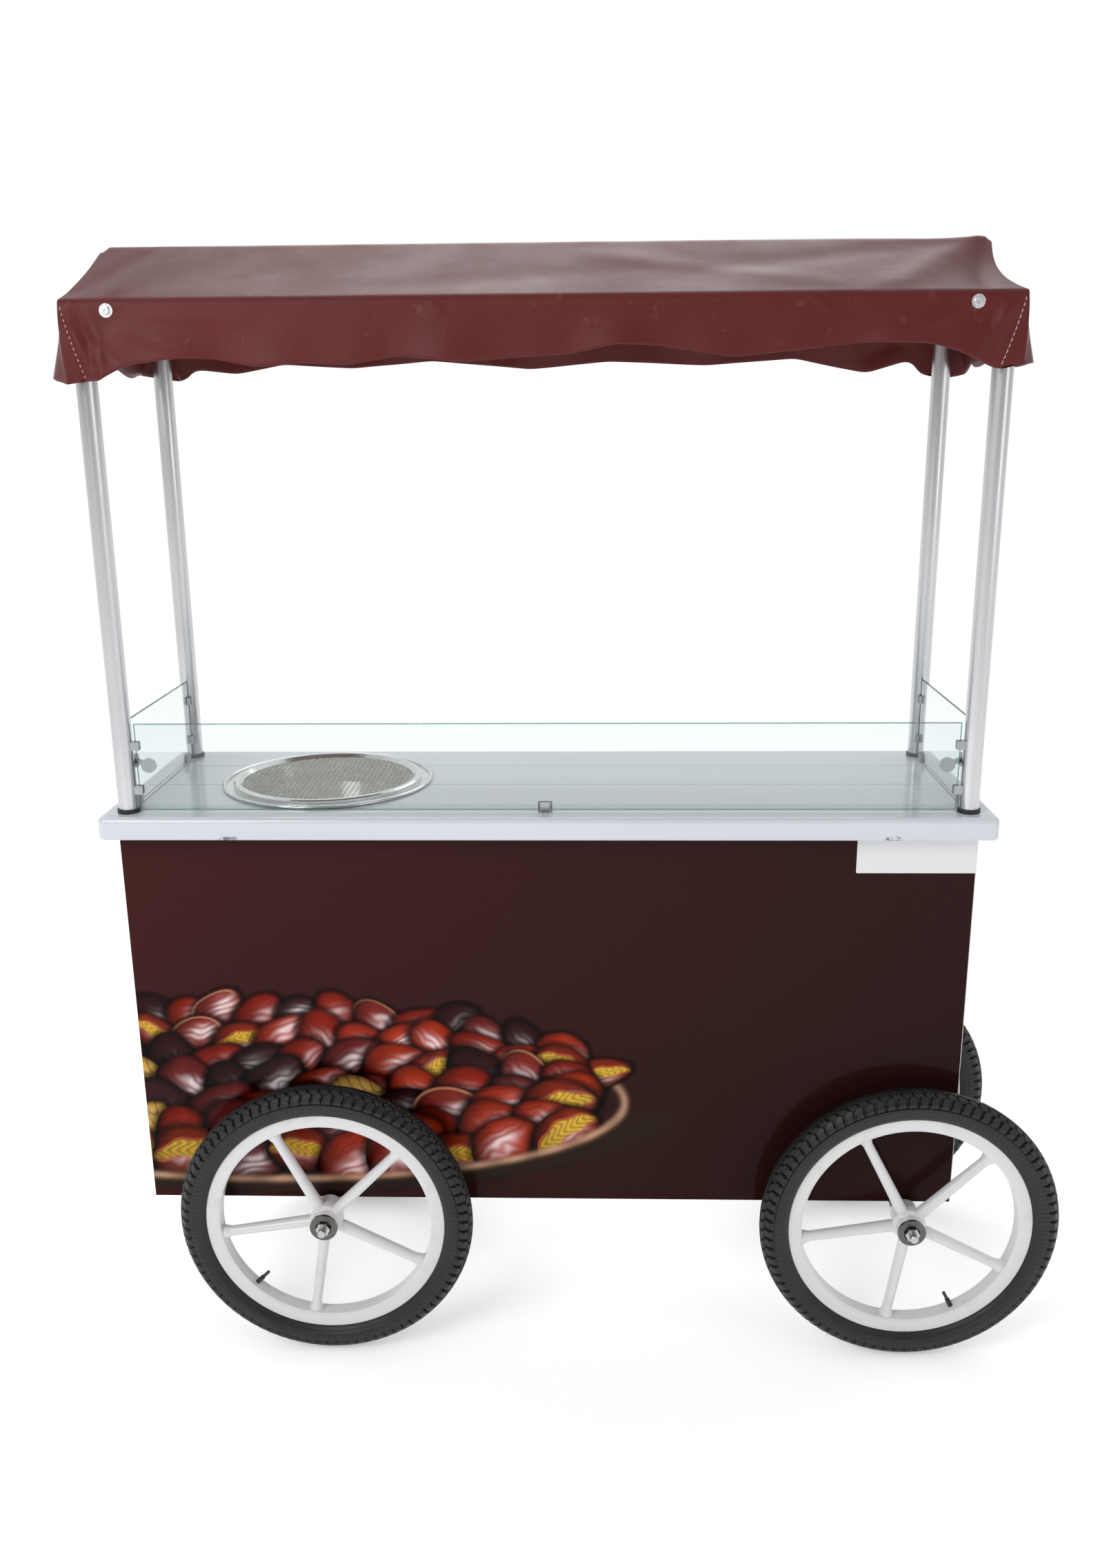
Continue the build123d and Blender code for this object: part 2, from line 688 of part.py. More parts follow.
# ---------------------------------------------------------------- ember pan and sieve
pan_axis = Axis((pan_x, pan_y, counter_top_z), (0, 0, 1))
pan_section = Plane(origin=(pan_x, pan_y, counter_top_z), x_dir=(1, 0, 0), z_dir=(0, -1, 0))
with BuildPart() as ember_pan:
    with BuildSketch(pan_section):
        Polygon(
            (0, -pan_depth), (pan_bottom_radius, -pan_depth), (pan_radius, -pan_depth / 2),
            (pan_radius, 0), (pan_flange_radius, 0), (pan_flange_radius, pan_wall),
            (pan_radius - pan_wall, pan_wall), (pan_radius - pan_wall, -pan_depth / 2),
            (pan_bottom_radius - pan_wall, -pan_depth + pan_wall), (0, -pan_depth + pan_wall),
            align=None,
        )
        with Locations((pan_flange_radius, pan_bead_radius)):
            Circle(pan_bead_radius)
    revolve(axis=pan_axis)
save(ember_pan, "ember_pan")

# The sieve's rim is a rolled channel that stands on the pan's flange, with an inner step.
sieve_base = pan_wall
sieve_top = sieve_base + sieve_height
step_top = sieve_base + sieve_step
step_foot = (sieve_bore_radius + sieve_foot, sieve_base)
step_edge = ((mesh_radius, step_top), (mesh_radius, step_top - sieve_wall), step_foot)
with BuildPart() as sieve_ring:
    with BuildSketch(pan_section):
        Polygon(
            (sieve_radius, sieve_base), (sieve_radius, sieve_top - sieve_bevel),
            (sieve_radius - sieve_step, sieve_top), (sieve_bore_radius + sieve_step, sieve_top),
            (sieve_bore_radius, sieve_top - sieve_step), *step_edge,
            align=None,
        )
    revolve(axis=pan_axis)
save(sieve_ring, "sieve_ring")

with BuildPart() as sieve_mesh:
    with BuildSketch(Plane.XY.offset(counter_top_z + step_top)):
        with Locations((pan_x, pan_y)):
            Circle(mesh_radius)
    extrude(amount=-mesh_thickness)
    with BuildSketch(pan_section):
        Polygon(*step_edge, (step_foot[0], step_top), align=None)
    revolve(axis=pan_axis, mode=Mode.SUBTRACT)
save(sieve_mesh, "sieve_mesh")

# ---------------------------------------------------------------- canopy posts
for place, point in post_points.items():
    with BuildPart() as post:
        with BuildSketch(Plane.XY.offset(counter_top_z)):
            with Locations(point):
                Circle(post_radius)
                Circle(post_radius - post_wall, mode=Mode.SUBTRACT)
        extrude(amount=end_rail_z - counter_top_z)
    save(post, f"post_{place}")

with BuildPart() as post_rings:
    with BuildSketch(Plane.XY.offset(counter_top_z)):
        with Locations(list(post_points.values())):
            Circle(ring_radius)
            Circle(post_radius + running_gap, mode=Mode.SUBTRACT)
    extrude(amount=ring_height)
    chamfer(post_rings.edges().group_by(Axis.Z)[-1], length=ring_chamfer)
save(post_rings, "post_rings")

# Each post slips over a spigot, whose stud is screwed into the counter.
with BuildPart() as post_spigots:
    with BuildSketch(Plane.XY.offset(counter_top_z)):
        with Locations(list(post_points.values())):
            Circle(post_radius - post_wall - running_gap)
    extrude(amount=spigot_height)
    with BuildSketch(Plane.XY.offset(counter_top_z)):
        with Locations(list(post_points.values())):
            Circle(stud_radius)
    extrude(amount=-stud_length)
save(post_spigots, "post_spigots")

# ---------------------------------------------------------------- canopy frame
rail_length = canopy_length - 2 * cover_thickness
rail_bore = rail_size - 2 * rail_wall
eave_rail_y = rail_outer_y - rail_size / 2
screw_z = eave_rail_z + rail_size / 2
screw_points = [
    (body_x + end * (canopy_length / 2 - canopy_screw_inset), side) for end in (-1, 1) for side in (-1, 1)
]


def screw_plane(x, side, y=canopy_depth / 2):
    """Plane square to a canopy screw, looking out of the eave."""
    return Plane(origin=(x, side * y, screw_z), x_dir=(-side, 0, 0), z_dir=(0, side, 0))


with BuildPart() as eave_rails:
    for side in (-1, 1):
        middle = (body_x, side * eave_rail_y, screw_z)
        with Locations(middle):
            Box(rail_length, rail_size, rail_size)
            Box(rail_length, rail_bore, rail_bore, mode=Mode.SUBTRACT)
    for x, side in screw_points:
        with BuildSketch(screw_plane(x, side)):
            Circle(canopy_screw_radius + running_gap)
        extrude(amount=-rail_size / 2, mode=Mode.SUBTRACT)
save(eave_rails, "eave_rails")

post_xs = (body_x - post_span_x / 2, body_x + post_span_x / 2)
with BuildPart() as end_rails:
    with Locations([(x, 0, end_rail_z + rail_size / 2) for x in post_xs]):
        Box(rail_size, 2 * rail_outer_y, rail_size)
        Box(rail_bore, 2 * rail_outer_y, rail_bore, mode=Mode.SUBTRACT)
save(end_rails, "end_rails")

pole_end_x = body_x - rail_length / 2
pole_plane = Plane(origin=(pole_end_x, 0, ridge_pole_z), x_dir=(0, 1, 0), z_dir=(1, 0, 0))
with BuildPart() as ridge_pole:
    with BuildSketch(pole_plane):
        Circle(ridge_pole_radius)
        Circle(ridge_pole_radius - rail_wall, mode=Mode.SUBTRACT)
    extrude(amount=rail_length)
save(ridge_pole, "ridge_pole")

# King posts stand on the end rails and cradle the ridge pole.
with BuildPart() as king_posts:
    with BuildSketch(Plane.XY.offset(end_rail_z + rail_size)):
        with Locations([(x, 0) for x in post_xs]):
            Rectangle(rail_size, rail_size)
            Rectangle(rail_bore, rail_bore, mode=Mode.SUBTRACT)
    extrude(amount=ridge_pole_z - end_rail_z - rail_size)
    with BuildSketch(pole_plane):
        Circle(ridge_pole_radius + running_gap)
    extrude(amount=rail_length, mode=Mode.SUBTRACT)
save(king_posts, "king_posts")


# ---------------------------------------------------------------- canopy cover
def cover_outline(inset):
    """Half of the cover's end view, closed at its hem; inset moves it inwards."""
    straight_z = eave_height - valance_straight
    hem_z = eave_height - valance_drop
    half = canopy_depth / 2 - inset
    rise = inset / math.cos(roof_angle)
    eave_z = eave_height + inset * math.tan(roof_angle) - rise
    points = [(half + valance_flare, hem_z), (half, straight_z), (half, eave_z)]
    return [*points, (0, ridge_height - rise), *[(-y, z) for y, z in reversed(points)]]


cover_mid = Plane(origin=(body_x, 0, 0), x_dir=(0, 1, 0), z_dir=(1, 0, 0))
with BuildPart() as canopy_cover:
    with BuildSketch(cover_mid):
        Polygon(*cover_outline(0), align=None)
    extrude(amount=canopy_length / 2, both=True)
    with BuildSketch(cover_mid):
        Polygon(*cover_outline(cover_thickness), align=None)
    extrude(amount=canopy_length / 2 - cover_thickness, both=True, mode=Mode.SUBTRACT)
    for x, side in screw_points:
        with BuildSketch(screw_plane(x, side)):
            Circle(canopy_screw_radius + running_gap)
        extrude(amount=-2 * cover_thickness, mode=Mode.SUBTRACT)
save(canopy_cover, "canopy_cover")

# Round-head hex-socket screws, each with its washer against the cover.
with BuildPart() as canopy_screws:
    for x, side in screw_points:
        head_y = canopy_depth / 2 + canopy_washer_thickness
        with BuildSketch(screw_plane(x, side)):
            Circle(canopy_washer_radius)
            Circle(canopy_screw_radius + running_gap, mode=Mode.SUBTRACT)
        extrude(amount=canopy_washer_thickness)
        with BuildSketch(screw_plane(x, side, head_y)):
            Circle(canopy_screw_radius)
        extrude(amount=-canopy_screw_length)
        with BuildSketch(screw_plane(x, side, head_y)):
            Circle(canopy_head_radius)
        extrude(amount=canopy_head_height, taper=canopy_head_taper)
        with BuildSketch(screw_plane(x, side, head_y + canopy_head_height)):
            RegularPolygon(canopy_socket_radius, 6)
        extrude(amount=-canopy_head_height / 2, mode=Mode.SUBTRACT)
save(canopy_screws, "canopy_screws")

# ---------------------------------------------------------------- glass guard
glass_mid_z = glass_bottom + glass_height / 2
with BuildPart() as glass_front:
    with Locations((body_x, -post_span_y / 2, glass_mid_z)):
        Box(glass_front_length, glass_thickness, glass_height)
save(glass_front, "glass_front")

for name, x in (("glass_left", post_xs[0]), ("glass_right", post_xs[1])):
    with BuildPart() as glass_side:
        with Locations((x, 0, glass_mid_z)):
            Box(glass_thickness, glass_side_length, glass_height)
    save(glass_side, name)

front_glass_y = -post_span_y / 2
along_y = [(x, side * (glass_side_length / 2 - clip_inset)) for x in post_xs for side in (-1, 1)]
front_clamps = [(body_x + side * glass_front_length / 2, front_glass_y) for side in (-1, 1)]
rear_clamps = [(x, glass_side_length / 2) for x in post_xs]
with BuildPart() as glass_clips:
    with BuildSketch(Plane.XY.offset(counter_top_z)):
        with Locations((body_x, front_glass_y)):
            SlotOverall(clip_length, clip_thickness)
        with Locations(along_y):
            SlotOverall(clip_length, clip_thickness, rotation=90)
    extrude(amount=clip_height)
    for height in clamp_heights:
        with BuildSketch(Plane.XY.offset(counter_top_z + height - clamp_size / 2)):
            with Locations(front_clamps + rear_clamps):
                Rectangle(clamp_size, clamp_size)
        extrude(amount=clamp_size)
    with Locations((body_x, front_glass_y, glass_mid_z)):
        Box(glass_front_length, glass_thickness, glass_height, mode=Mode.SUBTRACT)
    with Locations([(x, 0, glass_mid_z) for x in post_xs]):
        Box(glass_thickness, glass_side_length, glass_height, mode=Mode.SUBTRACT)
    with BuildSketch(Plane.XY.offset(counter_top_z)):
        with Locations(list(post_points.values())):
            Circle(post_radius)
    extrude(amount=glass_lift + glass_height, mode=Mode.SUBTRACT)
save(glass_clips, "glass_clips")


# Corner connectors join the front pane to each side pane with a disc on both.
connector_z = counter_top_z + connector_height
with BuildPart() as corner_connectors:
    for side in (-1, 1):
        x = body_x + side * post_span_x / 2
        front_x = body_x + side * (glass_front_length / 2 - connector_inset)
        side_y = -glass_side_length / 2 + connector_inset
        front_face = front_glass_y + glass_thickness / 2
        side_face = x - side * glass_thickness / 2
        front_origin = (front_x, front_face, connector_z)
        with BuildSketch(Plane(origin=front_origin, x_dir=(-1, 0, 0), z_dir=(0, 1, 0))):
            Circle(connector_disc_radius)
        extrude(amount=connector_disc_thickness)
        side_origin = (side_face, side_y, connector_z)
        with BuildSketch(Plane(origin=side_origin, x_dir=(0, 1, 0), z_dir=(-side, 0, 0))):
            Circle(connector_disc_radius)
        extrude(amount=connector_disc_thickness)
        start = Vector(front_x, front_face + connector_disc_thickness - connector_bite, connector_z)
        finish = Vector(side_face - side * (connector_disc_thickness - connector_bite), side_y, connector_z)
        span = finish - start
        with BuildSketch(Plane(origin=start, z_dir=span)):
            Circle(connector_rod_radius)
        extrude(amount=span.length)
        with Locations((front_x, front_face - glass_thickness / 2, connector_z)):
            Box(3 * connector_disc_radius, glass_thickness, 3 * connector_disc_radius, mode=Mode.SUBTRACT)
        with Locations((side_face + side * glass_thickness / 2, side_y, connector_z)):
            Box(glass_thickness, 3 * connector_disc_radius, 3 * connector_disc_radius, mode=Mode.SUBTRACT)
save(corner_connectors, "corner_connectors")
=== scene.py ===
import math

import bpy
import numpy as np
from mathutils import Euler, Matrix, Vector


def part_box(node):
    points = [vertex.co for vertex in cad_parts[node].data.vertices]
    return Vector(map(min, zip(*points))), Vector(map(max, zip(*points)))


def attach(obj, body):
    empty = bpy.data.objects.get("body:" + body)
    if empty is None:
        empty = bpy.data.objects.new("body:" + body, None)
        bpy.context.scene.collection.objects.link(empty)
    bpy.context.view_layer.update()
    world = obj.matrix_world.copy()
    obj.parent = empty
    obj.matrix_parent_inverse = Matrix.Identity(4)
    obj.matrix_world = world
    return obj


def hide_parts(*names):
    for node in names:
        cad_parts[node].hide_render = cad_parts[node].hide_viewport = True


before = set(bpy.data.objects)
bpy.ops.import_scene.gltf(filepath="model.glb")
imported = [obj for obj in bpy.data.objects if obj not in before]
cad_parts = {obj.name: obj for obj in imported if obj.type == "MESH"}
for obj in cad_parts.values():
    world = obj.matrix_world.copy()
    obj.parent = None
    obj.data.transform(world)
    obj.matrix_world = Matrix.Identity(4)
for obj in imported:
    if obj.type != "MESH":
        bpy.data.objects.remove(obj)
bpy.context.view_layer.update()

# Looks of the push vending cart, built round the CAD frame. Metres, +Z up, front at -Y.
TAU = 2 * math.pi
MM = 0.001
WHEELS = ("front_left", "front_right", "rear_left", "rear_right")
counter_low, counter_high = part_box("counter_top")
panel_low, panel_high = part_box("front_panel")
cover_low, cover_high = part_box("canopy_cover")
CART_X = (counter_low[0] + counter_high[0]) / 2
COUNTER_Z = counter_high[2]


# ---------------------------------------------------------------- camera, floor and light
def make_camera():
    """Standing eye height in front of the cart, looking slightly down and to the left."""
    post_low, post_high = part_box("post_front_left")
    camera = bpy.data.cameras.new("camera")
    camera.lens = 30.68
    camera.shift_y = 0.0037
    eye = bpy.data.objects.new("camera", camera)
    bpy.context.collection.objects.link(eye)
    eye.location = (CART_X + 0.0877, (post_low[1] + post_high[1]) / 2 - 2.1035, COUNTER_Z + 0.6288)
    eye.rotation_euler = Euler([math.radians(turn) for turn in (74.295, 0.469, 1.581)])
    bpy.context.scene.camera = eye


def make_light(name, place, target, size, watts, colour=(1, 1, 1)):
    """Soft rectangular lamp aimed at a point."""
    lamp = bpy.data.lights.new(name, "AREA")
    lamp.shape = "RECTANGLE"
    lamp.size, lamp.size_y = size
    lamp.energy = watts
    lamp.color = colour
    holder = bpy.data.objects.new(name, lamp)
    bpy.context.collection.objects.link(holder)
    holder.location = place
    holder.rotation_euler = (Vector(target) - Vector(place)).to_track_quat("-Z", "Y").to_euler()


def make_surroundings():
    """White background; what lights the cart is bright behind and above it and dimmer in front."""
    world = bpy.data.worlds.new("studio")
    world.use_nodes = True
    tree = world.node_tree
    background = tree.nodes["Background"]
    direction = tree.nodes.new("ShaderNodeTexCoord").outputs["Generated"]
    split = tree.nodes.new("ShaderNodeSeparateXYZ")
    tree.links.new(direction, split.inputs[0])
    tones = []
    for axis, low, high, dim, bright in (("Y", -0.9, 0.5, 0.30, 1.0), ("Z", -0.1, 0.9, 0.8, 1.0)):
        remap = tree.nodes.new("ShaderNodeMapRange")
        for socket, value in zip(("From Min", "From Max", "To Min", "To Max"), (low, high, dim, bright)):
            remap.inputs[socket].default_value = value
        tree.links.new(split.outputs[axis], remap.inputs["Value"])
        tones.append(remap.outputs["Result"])
    both = tree.nodes.new("ShaderNodeMath")
    both.operation = "MULTIPLY"
    tree.links.new(tones[0], both.inputs[0])
    tree.links.new(tones[1], both.inputs[1])
    seen = tree.nodes.new("ShaderNodeMath")
    seen.operation = "MAXIMUM"
    tree.links.new(both.outputs[0], seen.inputs[0])
    tree.links.new(tree.nodes.new("ShaderNodeLightPath").outputs["Is Camera Ray"], seen.inputs[1])
    tree.links.new(seen.outputs[0], background.inputs["Strength"])
    background.inputs["Color"].default_value = (1, 1, 1, 1)
    bpy.context.scene.world = world


def make_studio():
    """Plain pale floor, white surroundings and large soft lamps."""
    make_surroundings()
    bpy.context.scene.view_settings.view_transform = "Standard"
    middle = (CART_X, 0, 0.9)
    make_light("key", (CART_X - 2.4, -3.4, 3.6), middle, (2.2, 2.2), 95)
    make_light("fill", (CART_X + 3.2, -2.6, 2.2), middle, (1.8, 2.2), 14)
    make_light("rear", (CART_X, 3.0, 3.6), middle, (3.0, 1.6), 30)
    floor_paint = Paint("floor_paint", (0.93, 0.93, 0.93), 0.9, Specular_IOR_Level=0.0)
    floor_paint.set("Emission Color", (1, 1, 1, 1))
    floor_paint.set("Emission Strength", 0.36)
    floor = mesh_piece(
        "floor", [(-60, -60, 0), (60, -60, 0), (60, 60, 0), (-60, 60, 0)], [(0, 1, 2, 3)],
        floor_paint.material, body=None,
    )


# ---------------------------------------------------------------- material tools
class Paint:
    """A Principled material being built: every texture reads the piece's own coordinates."""

    def __init__(self, name, colour, roughness, metallic=0.0, **more):
        self.material = bpy.data.materials.new(name)
        self.material.use_nodes = True
        self.material.diffuse_color = (*colour, 1)
        self.tree = self.material.node_tree
        self.shader = self.tree.nodes["Principled BSDF"]
        self.set("Base Color", (*colour, 1))
        self.set("Roughness", roughness)
        self.set("Metallic", metallic)
        for socket, value in more.items():
            self.set(socket.replace("_", " "), value)
        self.coordinates = self.add("ShaderNodeTexCoord").outputs["Object"]

    def set(self, socket, value):
        self.shader.inputs[socket].default_value = value

    def add(self, kind, **settings):
        node = self.tree.nodes.new(kind)
        for name, value in settings.items():
            setattr(node, name, value)
        return node

    def link(self, source, target):
        self.tree.links.new(source, target)

    def stretched(self, factors):
        """The piece's coordinates multiplied along each axis."""
        mapping = self.add("ShaderNodeMapping")
        mapping.inputs["Scale"].default_value = factors
        self.link(self.coordinates, mapping.inputs["Vector"])
        return mapping.outputs["Vector"]

    def noise(self, scale, detail=3.0, roughness=0.55, stretch=(1, 1, 1)):
        node = self.add("ShaderNodeTexNoise")
        node.inputs["Scale"].default_value = scale
        node.inputs["Detail"].default_value = detail
        node.inputs["Roughness"].default_value = roughness
        self.link(self.stretched(stretch), node.inputs["Vector"])
        return node.outputs["Fac"]

    def axis(self, name):
        """One of the piece's coordinates."""
        node = self.add("ShaderNodeSeparateXYZ")
        self.link(self.coordinates, node.inputs[0])
        return node.outputs[name]

    def remap(self, source, low, high, to_low=0.0, to_high=1.0):
        node = self.add("ShaderNodeMapRange")
        for socket, value in zip(("From Min", "From Max", "To Min", "To Max"), (low, high, to_low, to_high)):
            node.inputs[socket].default_value = value
        self.link(source, node.inputs["Value"])
        return node.outputs["Result"]

    def math(self, operation, first, second=None):
        node = self.add("ShaderNodeMath", operation=operation)
        for socket, value in zip(node.inputs, (first, second)):
            if isinstance(value, (int, float)):
                socket.default_value = value
            elif value is not None:
                self.link(value, socket)
        return node.outputs[0]

    def mix(self, factor, first, second):
        """Colour between two colours or sockets."""
        node = self.add("ShaderNodeMix", data_type="RGBA")
        self.link(factor, node.inputs["Factor"])
        for socket, value in ((node.inputs[6], first), (node.inputs[7], second)):
            if isinstance(value, tuple):
                socket.default_value = (*value, 1)
            else:
                self.link(value, socket)
        return node.outputs[2]

    def colour(self, source):
        self.link(source, self.shader.inputs["Base Color"])

    def rough(self, source):
        self.link(source, self.shader.inputs["Roughness"])

    def bump(self, height, distance, strength=1.0):
        node = self.add("ShaderNodeBump")
        node.inputs["Strength"].default_value = strength
        node.inputs["Distance"].default_value = distance
        self.link(height, node.inputs["Height"])
        if self.shader.inputs["Normal"].is_linked:
            self.link(self.shader.inputs["Normal"].links[0].from_socket, node.inputs["Normal"])
        self.link(node.outputs["Normal"], self.shader.inputs["Normal"])


def simple_material(name, colour, roughness, metallic=0.0, **more):
    """A surface with faint cloudiness in its colour."""
    paint = Paint(name, colour, roughness, metallic, **more)
    cloud = paint.noise(9.0)
    darker = tuple(0.93 * c for c in colour)
    paint.colour(paint.mix(cloud, darker, colour))
    return paint.material


def mesh_piece(name, points, faces, material, body="root", sharp_angle=None):
    """A new mesh object in the row frame, riding on a CAD body."""
    mesh = bpy.data.meshes.new(name)
    mesh.from_pydata([tuple(p) for p in points], [], [tuple(f) for f in faces])
    mesh.polygons.foreach_set("use_smooth", [True] * len(mesh.polygons))
    if sharp_angle is not None:
        mesh.set_sharp_from_angle(angle=math.radians(sharp_angle))
    mesh.materials.append(material)
    mesh.update()
    piece = bpy.data.objects.new(name, mesh)
    bpy.context.collection.objects.link(piece)
    if body is not None:
        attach(piece, body)
    return piece


def dress(node, material):
    """Gives a CAD node's object a material."""
    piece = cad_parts[node]
    if not piece.material_slots:
        piece.data.materials.append(material)
    for slot in piece.material_slots:
        slot.material = material


def strip(rows, columns, closed_rows=False, closed_columns=False):
    """Quads of a grid whose point (i, j) is number i * columns + j."""
    faces = []
    for i in range(rows if closed_rows else rows - 1):
        below = (i + 1) % rows
        for j in range(columns if closed_columns else columns - 1):
            right = (j + 1) % columns
            faces.append((i * columns + j, i * columns + right, below * columns + right, below * columns + j))
    return faces


def smoothstep(x, low, high):
    t = np.clip((np.asarray(x, float) - low) / (high - low), 0, 1)
    return t * t * (3 - 2 * t)


# ---------------------------------------------------------------- materials
def laminate_material():
    """Pale blue-grey glossy boards, faintly clouded, with two chips on the lip's lower edge."""
    paint = Paint("counter_laminate", (0.60, 0.64, 0.68), 0.13, Coat_Weight=0.25, Coat_Roughness=0.05)
    cloud = paint.noise(3.0, 4.0, stretch=(0.35, 1.6, 1.0))
    streak = paint.noise(55.0, 3.0, stretch=(0.05, 1.0, 1.0))
    tone = paint.mix(cloud, (0.56, 0.60, 0.64), (0.66, 0.70, 0.74))
    tone = paint.mix(paint.remap(streak, 0.45, 0.9, 0.0, 0.35), tone, (0.50, 0.54, 0.58))
    chips = None
    for offset in (-0.516, 0.563):
        spot = paint.add("ShaderNodeVectorMath", operation="DISTANCE")
        paint.link(paint.stretched((0.35, 1.0, 1.0)), spot.inputs[0])
        spot.inputs[1].default_value = ((CART_X + offset) * 0.35, counter_low[1], counter_low[2] + 0.003)
        near = paint.remap(spot.outputs["Value"], 0.004, 0.0065, 1.0, 0.0)
        chips = near if chips is None else paint.math("MAXIMUM", chips, near)
    ragged = paint.math("MULTIPLY", chips, paint.remap(paint.noise(260.0, 2.0), 0.42, 0.56))
    paint.colour(paint.mix(ragged, tone, (0.10, 0.12, 0.15)))
    smudge = paint.noise(6.0, 5.0)
    paint.rough(paint.remap(smudge, 0.3, 0.7, 0.09, 0.2))
    return paint.material


def gloss_brown_material(name="brown_wrap"):
    """Dark brown printed film under a gloss laminate."""
    paint = Paint(name, (0.038, 0.012, 0.010), 0.16, Specular_IOR_Level=0.12)
    cloud = paint.noise(2.2, 3.0)
    paint.colour(paint.mix(cloud, (0.030, 0.009, 0.008), (0.050, 0.016, 0.013)))
    paint.bump(paint.noise(14.0, 2.0), 0.0015, 0.12)
    return paint.material


def aluminium_material():
    """Drawn tube: bright satin with fine lines along its length."""
    paint = Paint("post_aluminium", (0.62, 0.625, 0.64), 0.26, 1.0)
    lines = paint.noise(420.0, 2.0, stretch=(1, 1, 0.012))
    cloud = paint.noise(5.0, 4.0)
    paint.colour(paint.mix(cloud, (0.52, 0.525, 0.54), (0.68, 0.685, 0.70)))
    paint.rough(paint.remap(lines, 0.3, 0.7, 0.2, 0.36))
    paint.bump(lines, 0.0002, 0.35)
    return paint.material


def steel_material(name, colour, roughness, scratch=260.0):
    """Worn bright steel with short scratches and darker blotches."""
    paint = Paint(name, colour, roughness, 1.0)
    scratches = paint.noise(scratch, 3.0, stretch=(1, 0.15, 1))
    blotch = paint.noise(24.0, 4.0)
    paint.colour(paint.mix(blotch, tuple(0.72 * c for c in colour), colour))
    paint.rough(paint.remap(scratches, 0.3, 0.75, roughness * 0.7, roughness * 1.5))
    paint.bump(scratches, 0.0001, 0.2)
    return paint.material


def rim_material():
    """White powder coat with faint orange peel and road grime low in its colour."""
    paint = Paint("rim_white", (0.83, 0.83, 0.84), 0.32, Coat_Weight=0.3, Coat_Roughness=0.15)
    grime = paint.noise(16.0, 5.0, 0.65)
    paint.colour(paint.mix(paint.remap(grime, 0.56, 0.8, 0.0, 0.55), (0.71, 0.71, 0.73), (0.46, 0.445, 0.43)))
    paint.bump(paint.noise(380.0, 2.0), 0.0003, 0.12)
    return paint.material


def rubber_material(name, colour=(0.0045, 0.0047, 0.005), roughness=0.5):
    """Matt black rubber with dusty patches."""
    paint = Paint(name, colour, roughness, Specular_IOR_Level=0.5)
    dust = paint.noise(30.0, 4.0, 0.6)
    dusty = tuple(c * 1.6 + 0.001 for c in colour)
    paint.colour(paint.mix(paint.remap(dust, 0.45, 0.8, 0.0, 0.8), colour, dusty))
    paint.rough(paint.remap(dust, 0.3, 0.8, roughness - 0.1, roughness + 0.14))
    paint.bump(paint.noise(900.0, 2.0), 0.0003, 0.35)
    return paint.material


def vinyl_material():
    """Maroon coated fabric: fine base weave under a semi-gloss skin, paler where it is scuffed."""
    paint = Paint("canopy_vinyl", (0.120, 0.026, 0.028), 0.38, Specular_IOR_Level=0.2)
    cloud = paint.noise(2.4, 5.0, 0.6)
    tone = paint.mix(cloud, (0.074, 0.009, 0.009), (0.134, 0.020, 0.020))
    scuff = paint.remap(paint.noise(38.0, 6.0, 0.7), 0.6, 0.82, 0.0, 0.35)
    paint.colour(paint.mix(scuff, tone, (0.30, 0.15, 0.145)))
    paint.rough(paint.remap(paint.noise(7.0, 4.0), 0.3, 0.75, 0.3, 0.46))
    weave = []
    for axis in ("X", "Y", "Z"):
        wave = paint.math("SINE", paint.math("MULTIPLY", paint.axis(axis), TAU / 0.0016))
        weave.append(wave)
    threads = paint.math("MULTIPLY", weave[0], paint.math("ADD", weave[1], weave[2]))
    paint.bump(threads, 0.00012, 0.5)
    paint.bump(paint.noise(26.0, 3.0), 0.0015, 0.25)
    return paint.material


def glass_material(name, pane):
    """Clear float glass, green where one looks into its cut edges."""
    low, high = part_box(pane)
    paint = Paint(name, (0.86, 0.905, 0.905), 0.0, Transmission_Weight=1.0, IOR=1.46)
    rim = 0.0022
    edge = None
    long_axis = "X" if high[0] - low[0] > high[1] - low[1] else "Y"
    index = "XYZ".index(long_axis)
    for axis, limit, sign in (("Z", high[2], -1), ("Z", low[2], 1),
                              (long_axis, high[index], -1), (long_axis, low[index], 1)):
        inside = paint.math("MULTIPLY", paint.math("SUBTRACT", paint.axis(axis), limit), sign)
        near = paint.remap(inside, rim * 0.7, rim, 1.0, 0.0)
        edge = near if edge is None else paint.math("MAXIMUM", edge, near)
    paint.colour(paint.mix(edge, (0.86, 0.905, 0.905), (0.30, 0.52, 0.46)))
    return paint.material


def make_pane(node, material):
    """A pane just thinner than the CAD one, so that its clips stay outside the glass."""
    low, high = (np.array(corner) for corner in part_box(node))
    thin = int(np.argmin(high - low))
    low[thin] += 0.0002
    high[thin] -= 0.0002
    corners = [(x, y, z) for x in (low[0], high[0]) for y in (low[1], high[1]) for z in (low[2], high[2])]
    faces = [(0, 1, 3, 2), (4, 6, 7, 5), (0, 4, 5, 1), (2, 3, 7, 6), (0, 2, 6, 4), (1, 5, 7, 3)]
    pane = mesh_piece(f"{node}_pane", corners, faces, material, sharp_angle=30)
    bevel = pane.modifiers.new("ground_edges", "BEVEL")
    bevel.width = 0.0005
    bevel.segments = 2
    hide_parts(node)


def board_material():
    """White melamine board with a faint speckle."""
    paint = Paint("white_melamine", (0.70, 0.69, 0.67), 0.4)
    speck = paint.noise(420.0, 2.0)
    paint.colour(paint.mix(paint.remap(speck, 0.55, 0.7), (0.72, 0.71, 0.69), (0.60, 0.59, 0.57)))
    return paint.material


